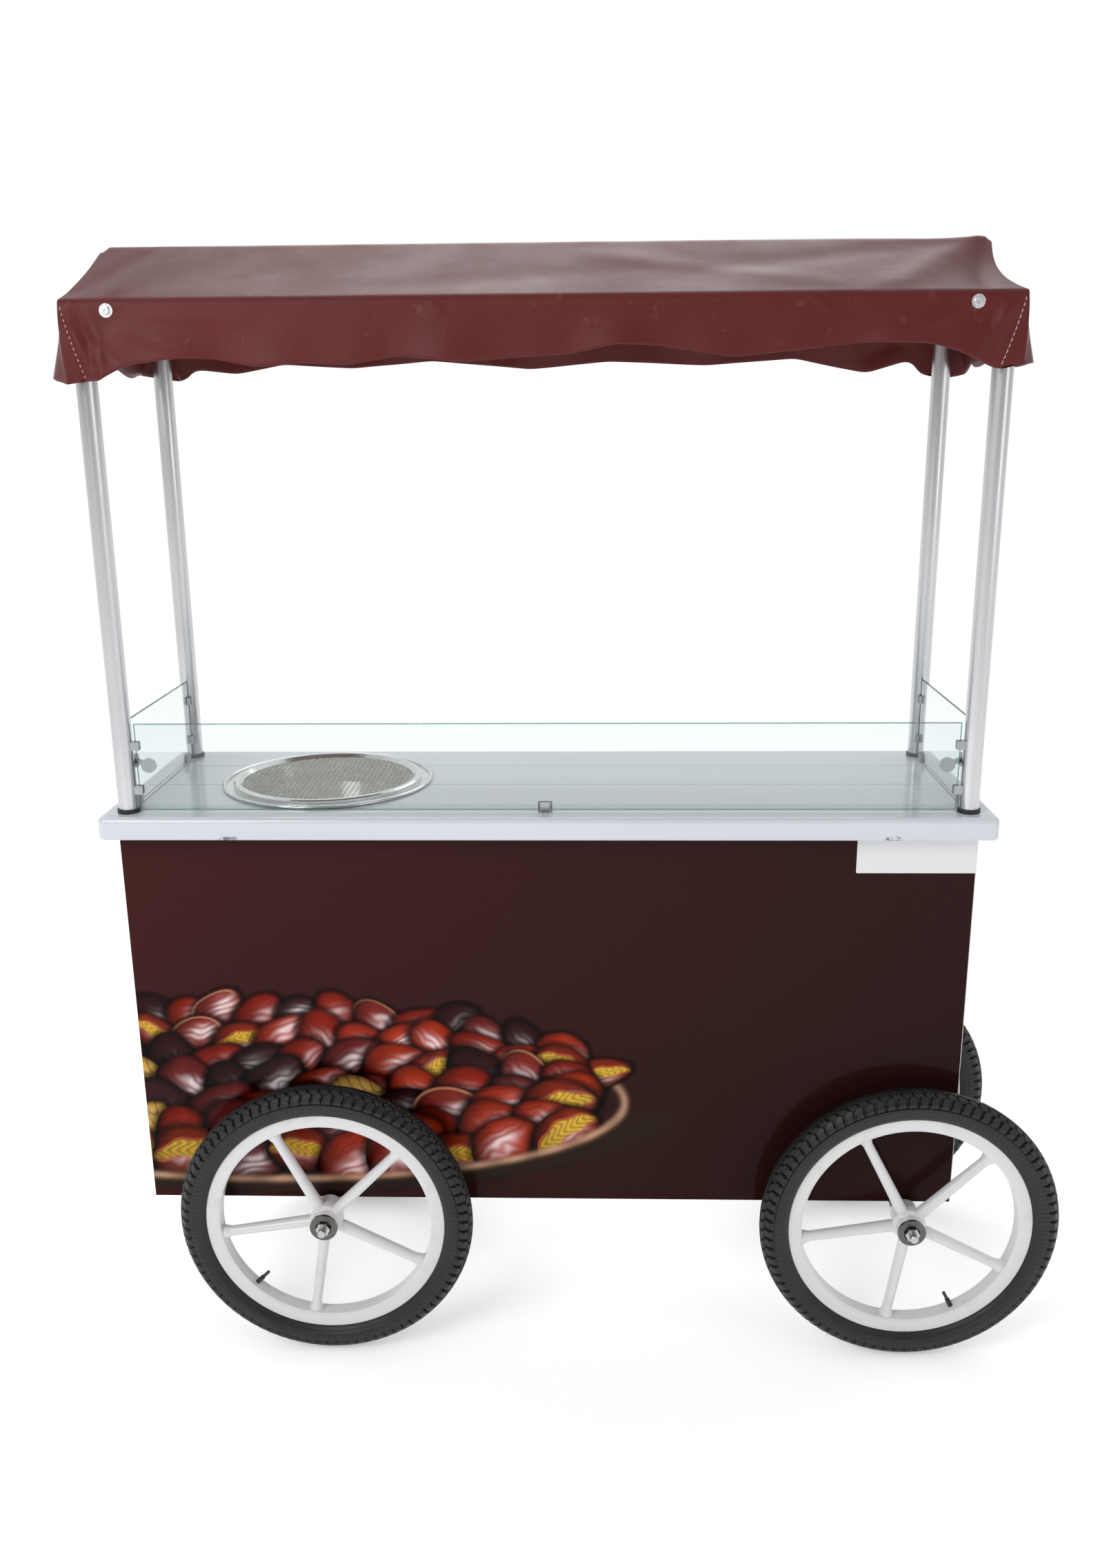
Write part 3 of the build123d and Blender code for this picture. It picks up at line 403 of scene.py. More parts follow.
def black_paint_material():
    """Black semi-gloss frame paint with rust-brown rubs."""
    paint = Paint("frame_black", (0.018, 0.018, 0.02), 0.38)
    rub = paint.remap(paint.noise(42.0, 6.0, 0.7), 0.62, 0.78, 0.0, 0.6)
    paint.colour(paint.mix(rub, (0.018, 0.018, 0.02), (0.085, 0.055, 0.04)))
    paint.bump(paint.noise(120.0, 3.0), 0.0004, 0.3)
    return paint.material


def print_material():
    """The front's printed film: its picture is a colour attribute, under gloss laminate."""
    paint = Paint("front_print", (0.04, 0.012, 0.01), 0.13, Specular_IOR_Level=0.07)
    picture = paint.add("ShaderNodeVertexColor", layer_name="print")
    paint.colour(picture.outputs["Color"])
    paint.bump(paint.noise(9.0, 2.0), 0.002, 0.1)
    return paint.material


# ---------------------------------------------------------------- tyres
TREAD_PITCHES = 84
TREAD_DEPTH = 0.0060


def tread_height(pitch, across, half_tread):
    """1 on top of a tread block and 0 in a groove, at a place in the pitch and across the tread."""
    side = np.sign(across)
    reach = np.abs(across) / half_tread
    zigzag = np.abs(2 * ((pitch + 0.25 * (side > 0)) % 1) - 1) - 0.5
    centre = reach < 0.17 + 0.09 * zigzag
    inner_slant = (pitch + 0.5 * reach + 0.5 * (side > 0)) % 1
    inner = (reach > 0.30 + 0.09 * zigzag) & (reach < 0.62) & (inner_slant > 0.2)
    outer_slant = (pitch - 0.35 * reach + 0.3 * (side > 0)) % 1
    outer = (reach > 0.70) & (reach < 1.32) & (outer_slant > 0.26)
    link = (reach >= 0.62) & (reach <= 0.70) & (outer_slant > 0.55) & (outer_slant < 0.85)
    return (centre | inner | outer | link).astype(float)


def tyre_profile(radius, half_width):
    """Stations round the carcass from one bead to the other: radius, offset along the axle, and
    distance across the tread, which is beyond the tread's half width on the sidewalls."""
    bead_radius, bead_half = radius - 0.0488, 0.0128
    half_tread = 0.022
    shoulder_radius = radius - 0.0115
    belly_radius = radius - 0.0300
    stations = []
    for t in np.linspace(0, 1, 15):
        angle = t * math.pi / 2
        if t < 1:
            rise = math.sin(angle)
            stations.append((bead_radius + (belly_radius - bead_radius) * (1 - math.cos(angle)),
                             bead_half + (half_width - bead_half) * rise, None))
    for t in np.linspace(0, 1, 12):
        angle = t * math.pi / 2
        stations.append((belly_radius + (shoulder_radius - belly_radius) * math.sin(angle * 0.999),
                         half_width - (half_width - half_tread) * (1 - math.cos(angle)), None))
    side = [(r, y, half_tread + (shoulder_radius - r)) for r, y, _ in stations]
    tread = []
    for y in np.linspace(half_tread, -half_tread, 40)[1:-1]:
        crown = radius - (radius - shoulder_radius) * (y / half_tread) ** 2
        tread.append((crown, y, abs(y)))
    right = [(r, -y, d) for r, y, d in reversed(side)]
    across = [d for _, _, d in side] + [y for _, y, _ in tread] + [-d for _, _, d in right]
    return side + tread + right, np.array(across), half_tread


def make_tyre(place, material):
    """Tyre with block tread, shoulder lugs, fine sidewall ribs and rim lines."""
    low, high = (Vector(corner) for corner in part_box(f"tyre_{place}"))
    centre = (low + high) / 2
    radius = (high.z - low.z) / 2
    half_width = (high.y - low.y) / 2 - 0.0008
    stations, across, half_tread = tyre_profile(radius, half_width)
    rows = TREAD_PITCHES * 10
    turn = np.arange(rows) / rows
    points = np.empty((rows, len(stations), 3))
    shift = {"front_left": 0.0, "front_right": 0.4, "rear_left": 0.2, "rear_right": 0.7}[place]
    pitch = (turn * TREAD_PITCHES + shift) % 1
    for j, (station_radius, offset, _) in enumerate(stations):
        height = tread_height(pitch, np.full(rows, across[j]), half_tread)
        depth = abs(across[j]) - half_tread
        on_tread = depth < 0.009
        ribs = 0.0006 * (np.sin(TAU * TREAD_PITCHES * 2 * turn) > 0) * (0.013 < depth < 0.024)
        ring = 0.0009 * (0.0265 < depth < 0.0285)
        outwards = (height - 1) * TREAD_DEPTH * on_tread - 0.0006 * (not on_tread)
        sideways = np.sign(across[j]) * (ribs + ring)
        if on_tread and depth > 0:
            sideways = sideways + np.sign(across[j]) * (height - 1) * 0.002
        place_radius = station_radius + outwards
        points[:, j, 0] = centre.x + place_radius * np.cos(TAU * turn)
        points[:, j, 1] = centre.y + offset + sideways
        points[:, j, 2] = centre.z + place_radius * np.sin(TAU * turn)
    faces = strip(rows, len(stations), closed_rows=True, closed_columns=True)
    piece = mesh_piece(f"tyre_{place}_tread", points.reshape(-1, 3), faces, material, f"wheel_{place}", 32)
    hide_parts(f"tyre_{place}")


# ---------------------------------------------------------------- sieve
def make_sieve_mesh(material):
    """Plain-woven wire cloth at 45 degrees, cut to a disc."""
    low, high = (Vector(corner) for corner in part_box("sieve_mesh"))
    centre = (low + high) / 2
    disc = (high.x - low.x) / 2 - 0.0005
    pitch, wire, sides = 0.0062, 0.0006, 6
    points, faces = [], []
    count = int(disc // pitch)
    ring = [(math.cos(TAU * k / sides), math.sin(TAU * k / sides)) for k in range(sides)]
    for family, angle in enumerate((math.pi / 4, -math.pi / 4)):
        along = Vector((math.cos(angle), math.sin(angle), 0))
        over = Vector((-math.sin(angle), math.cos(angle), 0))
        for k in range(-count, count + 1):
            half = math.sqrt(max(disc ** 2 - (k * pitch) ** 2, 0))
            steps = max(2, int(2 * half / (pitch / 2)))
            start = len(points)
            for i in range(steps + 1):
                run = -half + 2 * half * i / steps
                phase = math.pi * (run / pitch + k + family)
                height = wire * 0.95 * math.cos(phase)
                middle = centre + over * (k * pitch) + along * run + Vector((0, 0, height))
                for sideways, up in ring:
                    points.append(middle + over * (wire * sideways) + Vector((0, 0, wire * up)))
            faces += [tuple(start + n for n in quad) for quad in strip(steps + 1, sides, closed_columns=True)]
            faces.append(tuple(range(start + sides - 1, start - 1, -1)))
            faces.append(tuple(range(len(points) - sides, len(points))))
    piece = mesh_piece("sieve_wire_cloth", points, faces, material, "sieve")
    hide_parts("sieve_mesh")


# ---------------------------------------------------------------- canopy
HALF_LENGTH = (cover_high[0] - cover_low[0]) / 2
HALF_DEPTH = (cover_high[1] - cover_low[1]) / 2 - 0.010
EAVE_Z = cover_high[2] - 0.099
RIDGE_Z = cover_high[2]
screw_low, screw_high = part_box("canopy_screws")
SCREW_X = ((screw_high[0] - screw_low[0]) / 2 - 0.010) / HALF_LENGTH
SCREW_UP = (screw_low[2] + screw_high[2]) / 2 - EAVE_Z
RIDGE_ROUND = 0.011
EAVE_ROUND = 0.004
# Depth of the front valance along its length, from the left corner to the right one.
FRONT_HEM = (
    (-1.00, 114), (-0.92, 113), (-0.865, 92), (-0.76, 83), (-0.68, 84), (-0.59, 96), (-0.49, 90),
    (-0.40, 94), (-0.29, 82), (-0.16, 91), (-0.03, 85), (0.06, 82), (0.16, 68), (0.24, 70),
    (0.40, 88), (0.58, 76), (0.68, 69), (0.80, 71), (0.86, 82), (0.92, 101), (1.00, 108),
)
REAR_HEM = (
    (-1.00, 104), (-0.90, 84), (-0.80, 92), (-0.68, 76), (-0.50, 84), (-0.30, 72), (-0.05, 88),
    (0.15, 76), (0.40, 84), (0.62, 74), (0.80, 100), (0.90, 80), (1.00, 106),
)
# Folds in the sheet: start and end as (share of half length, metres up from the eave), width, height.
FRONT_FOLDS = (
    ((-0.90, 0.0), (-0.86, 0.21), 0.016, 0.0035),
    ((-0.99, 0.02), (-0.90, 0.20), 0.020, -0.0030),
    ((0.97, 0.24), (0.72, 0.02), 0.030, 0.0040),
    ((0.97, 0.24), (0.35, 0.11), 0.034, -0.0030),
    ((0.98, 0.22), (0.93, 0.03), 0.018, -0.0050),
    ((0.10, 0.19), (0.60, 0.05), 0.030, 0.0022),
    ((-0.30, 0.05), (0.20, 0.12), 0.034, -0.0018),
    ((-0.94, -0.02), (-0.70, -0.08), 0.012, 0.0030),
    ((-0.97, -0.04), (-0.86, -0.10), 0.010, -0.0035),
    ((-0.89, -0.02), (-0.60, -0.03), 0.010, 0.0016),
    ((-0.985, -0.01), (-0.975, -0.10), 0.007, 0.0030),
    ((-0.955, -0.005), (-0.950, -0.09), 0.006, -0.0028),
    ((-0.925, -0.03), (-0.915, -0.105), 0.008, 0.0030),
    ((0.955, -0.01), (0.965, -0.10), 0.007, 0.0030),
    ((0.930, -0.03), (0.920, -0.10), 0.007, -0.0026),
    ((0.90, -0.02), (0.68, -0.07), 0.012, 0.0028),
    ((0.99, -0.01), (0.88, -0.10), 0.012, 0.0030),
    ((-0.22, -0.008), (-0.20, -0.022), 0.006, 0.0022),
    ((0.57, -0.010), (0.60, -0.026), 0.006, 0.0024),
)
REAR_FOLDS = (
    ((0.92, 0.0), (0.88, 0.20), 0.018, 0.0032),
    ((-0.96, 0.22), (-0.70, 0.03), 0.028, 0.0035),
    ((-0.2, 0.04), (0.3, 0.14), 0.034, 0.0020),
    ((-0.95, -0.02), (-0.75, -0.07), 0.012, 0.0028),
    ((0.96, -0.02), (0.80, -0.07), 0.012, 0.0028),
)


def hem_depth(x, table):
    """Smoothly joined depth of a hem, in metres, at a share of the half length."""
    xs, depths = zip(*table)
    fine = np.linspace(-1, 1, 801)
    line = np.interp(fine, xs, depths)
    kernel = np.hanning(25)
    padded = np.pad(line, 12, mode="edge")
    smooth = np.convolve(padded, kernel / kernel.sum(), mode="valid")
    return np.interp(x, fine, smooth) * MM


def fold_height(x, up, folds):
    """Sum of the folds at a place in the sheet."""
    total = np.zeros(np.broadcast(x, up).shape)
    for (x0, up0), (x1, up1), width, height in folds:
        start = np.array((x0 * HALF_LENGTH, up0))
        run = np.array((x1 * HALF_LENGTH, up1)) - start
        away_x = x * HALF_LENGTH - start[0]
        away_up = up - start[1]
        share = np.clip((away_x * run[0] + away_up * run[1]) / (run @ run), 0, 1)
        gap = np.hypot(away_x - share * run[0], away_up - share * run[1])
        fade = 0.35 + 0.65 * np.sin(math.pi * (0.15 + 0.7 * share))
        total = total + height * np.exp(-(gap / width) ** 2) * fade
    return total


def canopy_half(x, side):
    """Rows of the sheet from one hem to the ridge, for one side (-1 front, 1 rear)."""
    folds = FRONT_FOLDS if side < 0 else REAR_FOLDS
    drop = hem_depth(x, FRONT_HEM if side < 0 else REAR_HEM)
    end = np.abs(x)
    right = smoothstep(x, 0.78, 1.0)
    left = smoothstep(-x, 0.90, 1.0)
    rows = []
    for t in np.linspace(1, 0, 19):
        t = t ** 0.9
        up = -t * drop
        ripple = t ** 1.6 * (0.0050 * np.sin(TAU * x * HALF_LENGTH / 0.235 + 1.1 * side)
                             + 0.0030 * np.sin(TAU * x * HALF_LENGTH / 0.131 + 2.0))
        out = 0.010 * t ** 1.2 + ripple + fold_height(x, up, folds)
        screw_gap = np.hypot((np.abs(x) - SCREW_X) * HALF_LENGTH, up - SCREW_UP)
        out = np.maximum(out * smoothstep(screw_gap, 0.012, 0.045), -0.0005)
        seam_pull = 0.032 * t ** 1.3 * smoothstep(end, 0.90, 1.0)
        across = np.sign(x) * (HALF_LENGTH * end - seam_pull)
        rows.append((across, side * (HALF_DEPTH + out), EAVE_Z - EAVE_ROUND * (1 - t) ** 8 + up))
    slope = math.hypot(HALF_DEPTH, RIDGE_Z - EAVE_Z)
    rise = (RIDGE_Z - EAVE_Z) / slope
    run = HALF_DEPTH / slope
    for s in np.linspace(0, 1, 25):
        reach = EAVE_ROUND / slope + s * (1 - EAVE_ROUND / slope - RIDGE_ROUND * 0.7 / slope)
        bow = math.sin(math.pi * s)
        sag = -0.0030 * bow * (0.6 + 0.4 * np.sin(TAU * x * 1.3)) - 0.0080 * bow * right - 0.0030 * bow * left
        normal = sag + fold_height(x, reach * slope, folds) * min(1.0, 6 * s)
        normal = np.maximum(normal, -0.02)
        bump = 0.0022 * smoothstep(s, 0.75, 1.0) * np.exp(-((x - 0.972) / 0.018) ** 2)
        pull = 0.014 * bow ** 0.9 * right + 0.003 * bow * left
        round_end = 0.006 * smoothstep(s, 0.9, 1.0) * smoothstep(end, 0.985, 1.0)
        across = np.sign(x) * (HALF_LENGTH * end - pull)
        y = HALF_DEPTH - reach * slope * run + normal * rise
        z = EAVE_Z + reach * slope * rise + normal * run + bump - round_end
        rows.append((across, side * y, z))
    return rows


def end_sheet(corner_front, top, corner_rear, side):
    """Inner points of one end: columns under the slope's end edge, down to the end's hem.
    The first and last column are the corner seams, and the first row is the slopes' edge."""
    rows = len(corner_front)
    columns = len(top)
    points = np.empty((rows, columns, 3))
    points[:, 0] = corner_front
    points[:, -1] = corner_rear
    points[0] = top
    for j in range(1, columns - 1):
        share = top[j][1] / HALF_DEPTH
        blend = (share + 1) / 2
        hem = (1 - blend) * corner_front[-1][2] + blend * corner_rear[-1][2]
        hem += 0.016 * math.sin(math.pi * blend) + 0.006 * math.sin(TAU * blend * 2.6 + side)
        for i in range(1, rows):
            r = i / (rows - 1)
            z = top[j][2] + (hem - top[j][2]) * r
            t = min(max((EAVE_Z - z) / 0.11, 0), 1)
            from_corner = min(share + 1, 1 - share) * HALF_DEPTH
            seam = 0.032 * t ** 1.3 * (1 - float(smoothstep(from_corner, 0.0, 0.034)))
            ripple = 0.004 * t * math.sin(TAU * blend * 2.2 + 1.0 + side)
            dish = -0.010 * math.sin(math.pi * min(1, max(0, (z - EAVE_Z) / 0.09))) * (side > 0)
            flare = 0.024 * t * (1 - 0.5 * float(smoothstep(from_corner, 0.05, 0.18)))
            reach = HALF_LENGTH + flare - seam + ripple + dish
            lean = 1 + (0.012 / HALF_DEPTH) * t * abs(share) ** 3
            points[i, j] = (side * reach, top[j][1] * lean, z)
    return points


def make_canopy(material, thread):
    """One sheet of coated fabric: two slopes, four valances and two gable ends, sewn at the corners."""
    spread = np.linspace(-1, 1, 261)
    spread = np.sign(spread) * np.abs(spread) ** 0.86
    front = canopy_half(spread, -1)
    rear = canopy_half(spread, 1)
    crown = (front[-1][0], np.zeros_like(spread), front[-1][2] + 0.0022)
    rows = front + [crown] + rear[::-1]
    grid = np.array([np.stack([np.broadcast_to(c, spread.shape) for c in row], axis=1) for row in rows])
    n_rows, n_columns = grid.shape[:2]
    points = [tuple(p) for p in grid.reshape(-1, 3)]
    faces = strip(n_rows, n_columns)
    valance_rows = 19
    seams = []
    for side, column in ((-1, 0), (1, n_columns - 1)):
        edge = grid[:, column]
        corner_front = edge[:valance_rows][::-1]
        corner_rear = edge[-valance_rows:]
        top = edge[valance_rows - 1:n_rows - valance_rows + 1]
        sheet = end_sheet(corner_front, top, corner_rear, side)
        numbers = np.empty(sheet.shape[:2], int)
        numbers[:, 0] = [(valance_rows - 1 - i) * n_columns + column for i in range(valance_rows)]
        numbers[:, -1] = [(n_rows - valance_rows + i) * n_columns + column for i in range(valance_rows)]
        numbers[0] = [(valance_rows - 1 + j) * n_columns + column for j in range(sheet.shape[1])]
        for i in range(1, sheet.shape[0]):
            for j in range(1, sheet.shape[1] - 1):
                numbers[i, j] = len(points)
                points.append(tuple(sheet[i, j]))
        for i in range(sheet.shape[0] - 1):
            for j in range(sheet.shape[1] - 1):
                quad = (numbers[i, j], numbers[i + 1, j], numbers[i + 1, j + 1], numbers[i, j + 1])
                faces.append(quad if side < 0 else quad[::-1])
        seams += [corner_front, corner_rear]
    placed = [(x + CART_X, y, z) for x, y, z in points]
    cover = mesh_piece("canopy_fabric", placed, faces, material, "root", 50)
    solid = cover.modifiers.new("cloth_thickness", "SOLIDIFY")
    solid.thickness = 0.0011
    solid.offset = 0.0
    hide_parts("canopy_cover")
    stitches = make_stitches(seams, thread)


def make_stitches(seams, material):
    """Pale thread down the four corner seams, in short loops just proud of the fabric."""
    points, faces = [], []
    thread, gap, stitch, sides = 0.0007, 0.0022, 0.0062, 5
    for seam in seams:
        line = [Vector((x + CART_X, y, z)) for x, y, z in seam]
        middle = Vector((CART_X, 0, 0))
        distances = [0.0]
        for first, second in zip(line, line[1:]):
            distances.append(distances[-1] + (second - first).length)
        place = 0.004
        while place + stitch < distances[-1]:
            ends = []
            for along in (place, place + stitch / 2, place + stitch):
                k = next(i for i in range(1, len(line)) if distances[i] >= along)
                share = (along - distances[k - 1]) / (distances[k] - distances[k - 1])
                spot = line[k - 1].lerp(line[k], share)
                outwards = Vector((spot.x - middle.x, (spot.y - middle.y) * 3.2, 0)).normalized()
                lift = 0.0013 if along == place + stitch / 2 else 0.0006
                inwards = Vector((-math.copysign(0.004, spot.x - middle.x), 0, 0))
                ends.append(spot + outwards * lift + inwards)
            start = len(points)
            direction = (ends[-1] - ends[0]).normalized()
            first_side = direction.orthogonal().normalized()
            second_side = direction.cross(first_side)
            for spot, width in zip(ends, (0.5, 1.0, 0.5)):
                for k in range(sides):
                    angle = TAU * k / sides
                    offset = first_side * math.cos(angle) + second_side * math.sin(angle)
                    points.append(spot + offset * thread * width)
            faces += [tuple(start + n for n in quad) for quad in strip(3, sides, closed_columns=True)]
            faces.append(tuple(range(start + sides - 1, start - 1, -1)))
            faces.append(tuple(range(len(points) - sides, len(points))))
            place += stitch + gap
    return mesh_piece("canopy_corner_stitches", points, faces, material)


# ---------------------------------------------------------------- printed front
def srgb(red, green, blue):
    """Linear colour of an sRGB triple given from 0 to 255."""
    channel = np.array((red, green, blue)) / 255
    return np.where(channel <= 0.04045, channel / 12.92, ((channel + 0.055) / 1.055) ** 2.4)


def soft_noise(x, z, seed, size):
    """Cheap smooth noise from a few crossed waves."""
    random = np.random.default_rng(seed)
    total = np.zeros_like(x)
    for _ in range(6):
        angle, phase = random.uniform(0, TAU, 2)
        pitch = size * random.uniform(0.6, 1.6)
        total += np.sin(TAU * (x * math.cos(angle) + z * math.sin(angle)) / pitch + phase)
    return total / 6


# The picture on the front is a plain stock motif, laid out by a seeded loop: a round bowl of roasted
# chestnuts. Metres from the panel's lower left corner.
BOWL_X, BOWL_Z, BOWL_LONG, BOWL_HIGH = 0.20, 0.19, 0.64, 0.155
HEAP_RISE, HEAP_ROWS, HEAP_SEED = 0.17, 7, 23
BACK_NUT, FRONT_NUT = 0.042, 0.064
NUT_LOOKS = ("red", "shine", "burnt", "burnt_shine", "split", "shine", "ash", "lipped", "split", "peeled")
SHELLS = {
    "red": ((26, 5, 5), (166, 40, 18), 0.6), "shine": ((26, 5, 6), (196, 58, 26), 1.7),
    "burnt": ((8, 4, 6), (60, 22, 22), 0.4), "burnt_shine": ((12, 5, 9), (128, 38, 36), 1.6),
    "ash": ((8, 5, 7), (70, 34, 36), 2.2), "split": ((20, 6, 6), (160, 50, 22), 0.9),
    "lipped": ((22, 6, 9), (156, 48, 38), 1.8), "peeled": ((120, 62, 20), (244, 202, 104), 0.6),
}


def heap_of_nuts(random):
    """Chestnuts in rows from the back of the bowl to its front, each row from left to right."""
    nuts = []
    for depth in np.linspace(0, 1, HEAP_ROWS):
        size = BACK_NUT + (FRONT_NUT - BACK_NUT) * depth
        x = -size * random.uniform(0, 1)
        while x < BOWL_X + BOWL_LONG - size:
            fall = math.sqrt(1 - ((x - BOWL_X) / BOWL_LONG) ** 2)
            back, front = BOWL_Z + HEAP_RISE * fall, BOWL_Z - (BOWL_HIGH - 0.7 * size) * fall
            z = back + (front - back) * depth + random.uniform(-0.25, 0.25) * size
            long_half, short_half = size * random.uniform(1.0, 1.35), size * random.uniform(0.70, 0.95)
            tilt, split = random.uniform(-45, 50), random.uniform(0.05, 0.35)
            look = NUT_LOOKS[random.integers(len(NUT_LOOKS))]
            nuts.append((x, z, long_half, short_half, tilt, look, split))
            x += size * random.uniform(1.25, 1.75)
    return nuts


def paint_chestnut(colour, x, z, nut, random):
    """Draws one roasted chestnut: a shaded shell, a torn split with pale flesh, and a broken shine."""
    centre_x, centre_z, long_half, short_half, degrees, kind, split = nut
    tilt = math.radians(degrees)
    near = (np.abs(x - centre_x) < long_half * 1.3) & (np.abs(z - centre_z) < long_half * 1.3)
    dx, dz = x[near] - centre_x, z[near] - centre_z
    u = (dx * math.cos(tilt) + dz * math.sin(tilt)) / long_half
    v = (-dx * math.sin(tilt) + dz * math.cos(tilt)) / short_half
    wobble = 0.05 * np.sin(3 * np.arctan2(v, u) + centre_x * 70)
    r = np.hypot(u, v * (1 + 0.16 * u)) + wobble
    blur = 0.03 + 0.24 * float(smoothstep(centre_z, 0.24, 0.38))
    cover = 1 - smoothstep(r, 1 - blur, 1 + blur * 0.6)
    shade = 1 - smoothstep(r, 1.0, 1.22)
    colour[near] *= (1 - 0.75 * shade)[:, None]
    height = np.sqrt(np.clip(1 - r ** 2, 0, 1))
    dark, bright, gloss = SHELLS[kind]
    dark, bright = srgb(*dark), srgb(*bright)
    up = dx * 0.35 / long_half + dz * 0.8 / short_half
    lit = np.clip(0.10 + 0.62 * height + 0.30 * up, 0, 1) ** 1.9
    grain = 0.5 + 0.5 * np.sin(26 * v + 6 * np.sin(2.3 * u + centre_x * 60)) * np.sin(7 * u + centre_z * 80)
    blotch = soft_noise(dx, dz, int(centre_x * 1000) % 97, 0.05)
    shell = dark + (bright - dark) * (lit * (0.78 + 0.22 * grain) * (1 + 0.35 * blotch))[:, None]
    if kind == "peeled":
        crack = np.exp(-(soft_noise(dx, dz, 3, 0.03) / 0.09) ** 2)
        shell *= (1 - 0.65 * crack)[:, None]
    spot_u, spot_v = random.uniform(-0.15, 0.35), random.uniform(-0.25, 0.15)
    streaks = 0.62 + 0.38 * np.sin(5 * u + 17 * v + 5 * blotch + centre_x * 90)
    shine = np.exp(-(((u - spot_u) / 0.36) ** 2 + ((v - spot_v) / 0.30) ** 2)) * streaks
    shell += (srgb(238, 226, 228) - shell) * np.clip(gloss * shine, 0, 0.96)[:, None]
    glow = np.exp(-(((u - spot_u) / 0.6) ** 2 + ((v - spot_v + 0.1) / 0.5) ** 2))
    shell += (bright * 1.25 - shell) * (0.30 * glow * min(gloss, 1))[:, None]
    if kind == "split":
        line = v - split + 0.38 * u * u + 0.05 * np.sin(9 * u + centre_x * 100)
        width = 0.34 * np.clip(1 - (u / 0.96) ** 2, 0, 1) ** 0.6
        inside = 1 - smoothstep(np.abs(line), width - 0.07, width)
        fibre = 0.75 + 0.25 * np.sin(31 * u + 4 * np.sin(11 * v))
        flesh = srgb(240, 190, 70) * ((0.42 + 0.70 * lit) * fibre)[:, None]
        shell += (flesh - shell) * inside[:, None]
        lip = np.exp(-((np.abs(line) - width - 0.02) / 0.035) ** 2) * (width > 0.04)
        shell += (srgb(190, 96, 60) - shell) * (0.75 * lip)[:, None]
    if kind == "lipped":
        lip = np.exp(-((r - 0.90 + 0.10 * u) / 0.045) ** 2) * smoothstep(v, -0.1, 0.35)
        shell += (srgb(214, 150, 112) - shell) * (0.8 * lip)[:, None]
    edge = np.exp(-((1 - r) / 0.13) ** 2) * (r < 1.05) * (1 - 0.5 * smoothstep(v, 0.2, 0.9))
    shell *= (1 - 0.85 * edge)[:, None]
    colour[near] = colour[near] * (1 - cover)[:, None] + np.clip(shell, 0, 1) * cover[:, None]


def print_colours(x, z):
    """The printed picture at points of the front: x from its left edge and z from its bottom."""
    length, height = panel_high[0] - panel_low[0], panel_high[2] - panel_low[2]
    side = (x / length)[:, None]
    # The background is lighter at the left and darker towards the bottom.
    colour = srgb(60, 25, 24) * (1 - side) + srgb(42, 21, 19) * side
    colour = colour * (0.78 + 0.22 * smoothstep(z, 0.05, height))[:, None]
    random = np.random.default_rng(HEAP_SEED)
    half_high = np.where(z > BOWL_Z, HEAP_RISE, BOWL_HIGH)
    mound = np.hypot((x - BOWL_X) / BOWL_LONG, (z - BOWL_Z) / half_high)
    reach = np.hypot((x - BOWL_X) / BOWL_LONG, (z - BOWL_Z) / BOWL_HIGH)
    colour += (srgb(16, 7, 7) - colour) * (1 - smoothstep(mound, 0.88, 0.98))[:, None]
    slope = np.hypot((x - BOWL_X) / BOWL_LONG ** 2, (z - BOWL_Z) / BOWL_HIGH ** 2) + 1e-6
    rim = np.exp(-((reach - 1.0) * reach / slope / 0.0062) ** 2)
    tan = srgb(190, 148, 120) * (0.8 + 0.2 * np.sin(x * 90))[:, None]
    colour += (tan - colour) * (0.9 * rim)[:, None]
    for nut in heap_of_nuts(random):
        paint_chestnut(colour, x, z, nut, random)
    below = smoothstep(BOWL_Z - z, 0.0, 0.03)
    outside = smoothstep(reach, 1.0, 1.03) * (1 - smoothstep(reach, 1.12, 1.22)) * below
    colour += (srgb(40, 27, 21) - colour) * outside[:, None]
    colour += (tan - colour) * (0.95 * rim * below)[:, None]
    colour *= (1 + 0.04 * soft_noise(x, z, 5, 0.02) * (reach < 1))[:, None]
    return np.clip(colour, 0.001, 1)


def make_front_print(material):
    """A film over the front panel, with a fine mesh where its picture is."""
    length, height = panel_high[0] - panel_low[0], panel_high[2] - panel_low[2]
    fine = 0.0019
    picture_right, picture_top, border = BOWL_X + 1.25 * BOWL_LONG, 0.42, 0.0012
    plain_xs = np.linspace(picture_right, length - border, 26)
    xs = np.concatenate([np.arange(0.0, picture_right, fine), plain_xs])
    zs = np.concatenate([np.arange(0.0, picture_top, fine), np.linspace(picture_top, height, 16)])
    grid_x, grid_z = np.meshgrid(xs, zs)
    flat_x, flat_z = grid_x.ravel(), grid_z.ravel()
    colours = print_colours(flat_x, flat_z)
    y = panel_low[1] - 0.0003
    points = np.stack([panel_low[0] + flat_x, np.full_like(flat_x, y), panel_low[2] + flat_z], axis=1)
    film = mesh_piece("front_print_film", points, strip(len(zs), len(xs)), material)
    layer = film.data.color_attributes.new("print", "FLOAT_COLOR", "POINT")
    layer.data.foreach_set("color", np.concatenate([colours, np.ones((len(colours), 1))], axis=1).ravel())


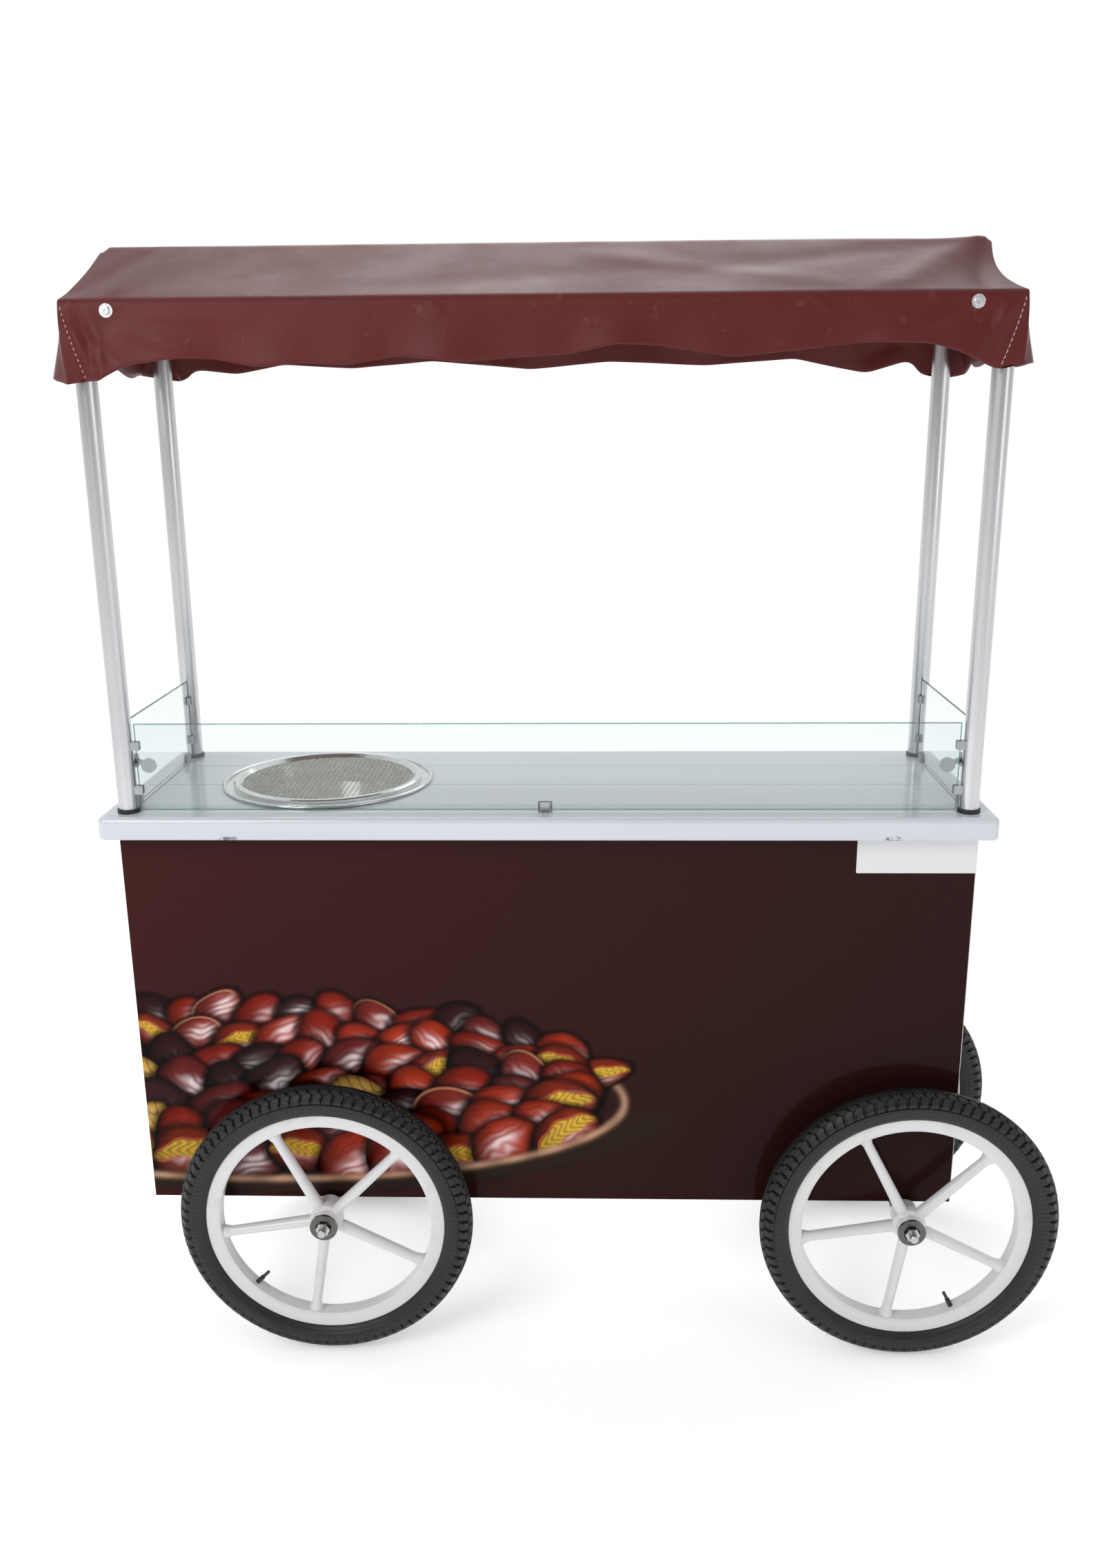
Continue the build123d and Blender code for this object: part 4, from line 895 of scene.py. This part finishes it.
# ---------------------------------------------------------------- everything else
def dress_cad():
    """Materials for the CAD nodes that show as they are."""
    laminate = laminate_material()
    brown = gloss_brown_material()
    aluminium = aluminium_material()
    white = rim_material()
    black_rubber = rubber_material("black_rubber", (0.02, 0.02, 0.021), 0.5)
    dark_steel = steel_material("hub_steel", (0.16, 0.155, 0.15), 0.32)
    bright_nut = steel_material("nut_steel", (0.60, 0.59, 0.57), 0.25)
    bright_screw = steel_material("screw_steel", (0.92, 0.92, 0.93), 0.34)
    clamp_metal = steel_material("clamp_metal", (0.42, 0.43, 0.44), 0.2)
    zinc = steel_material("zinc_steel", (0.62, 0.62, 0.64), 0.36)
    chrome = steel_material("chrome", (0.86, 0.86, 0.88), 0.09)
    pan_steel = steel_material("pan_steel", (0.76, 0.77, 0.77), 0.16, 180.0)
    black_paint = black_paint_material()
    board = board_material()
    rail = steel_material("rail_galvanised", (0.55, 0.56, 0.57), 0.45)
    label = simple_material("label_film", (0.76, 0.76, 0.77), 0.35)
    edge = Paint("front_board", (0.045, 0.016, 0.013), 0.3, Coat_Weight=0.5)
    pale = edge.remap(edge.axis("X"), panel_high[0] - 0.002, panel_high[0] - 0.0012)
    edge.colour(edge.mix(pale, (0.045, 0.016, 0.013), (0.62, 0.56, 0.54)))
    looks = {
        "counter_top": laminate, "front_panel": edge.material, "left_panel": brown, "right_panel": brown,
        "door_left": brown, "door_right": brown, "label_plate": label,
        "floor_panel": board, "shelf": board, "shelf_cleats": board,
        "chassis_frame": black_paint, "top_frame": black_paint, "uprights": black_paint,
        "axle_beams": black_paint, "axle_plugs": zinc, "axle_rods": zinc, "axle_washers": dark_steel,
        "axle_nuts": bright_nut, "post_rings": black_rubber, "post_spigots": zinc,
        "magnet_catches": black_rubber, "door_hinges_left": zinc, "door_hinges_right": zinc,
        "frame_hinges": zinc, "handle_left": chrome, "handle_right": chrome,
        "eave_rails": rail, "end_rails": rail, "ridge_pole": rail, "king_posts": rail,
        "canopy_screws": bright_screw, "glass_clips": clamp_metal, "corner_connectors": clamp_metal,
        "ember_pan": pan_steel, "sieve_ring": pan_steel,
    }
    for place in WHEELS:
        looks[f"rim_{place}"] = white
        looks[f"valve_{place}"] = black_rubber
        looks[f"hub_bearings_{place}"] = dark_steel
        looks[f"post_{place}"] = aluminium
    for node, material in looks.items():
        dress(node, material)


make_camera()
make_studio()
dress_cad()
tyre_rubber = rubber_material("tyre_rubber")
for wheel in WHEELS:
    make_tyre(wheel, tyre_rubber)
for node in ("glass_front", "glass_left", "glass_right"):
    make_pane(node, glass_material(f"{node}_float", node))
make_sieve_mesh(steel_material("mesh_steel", (0.66, 0.64, 0.58), 0.28))
make_canopy(vinyl_material(), simple_material("seam_thread", (0.66, 0.58, 0.55), 0.7))
make_front_print(print_material())
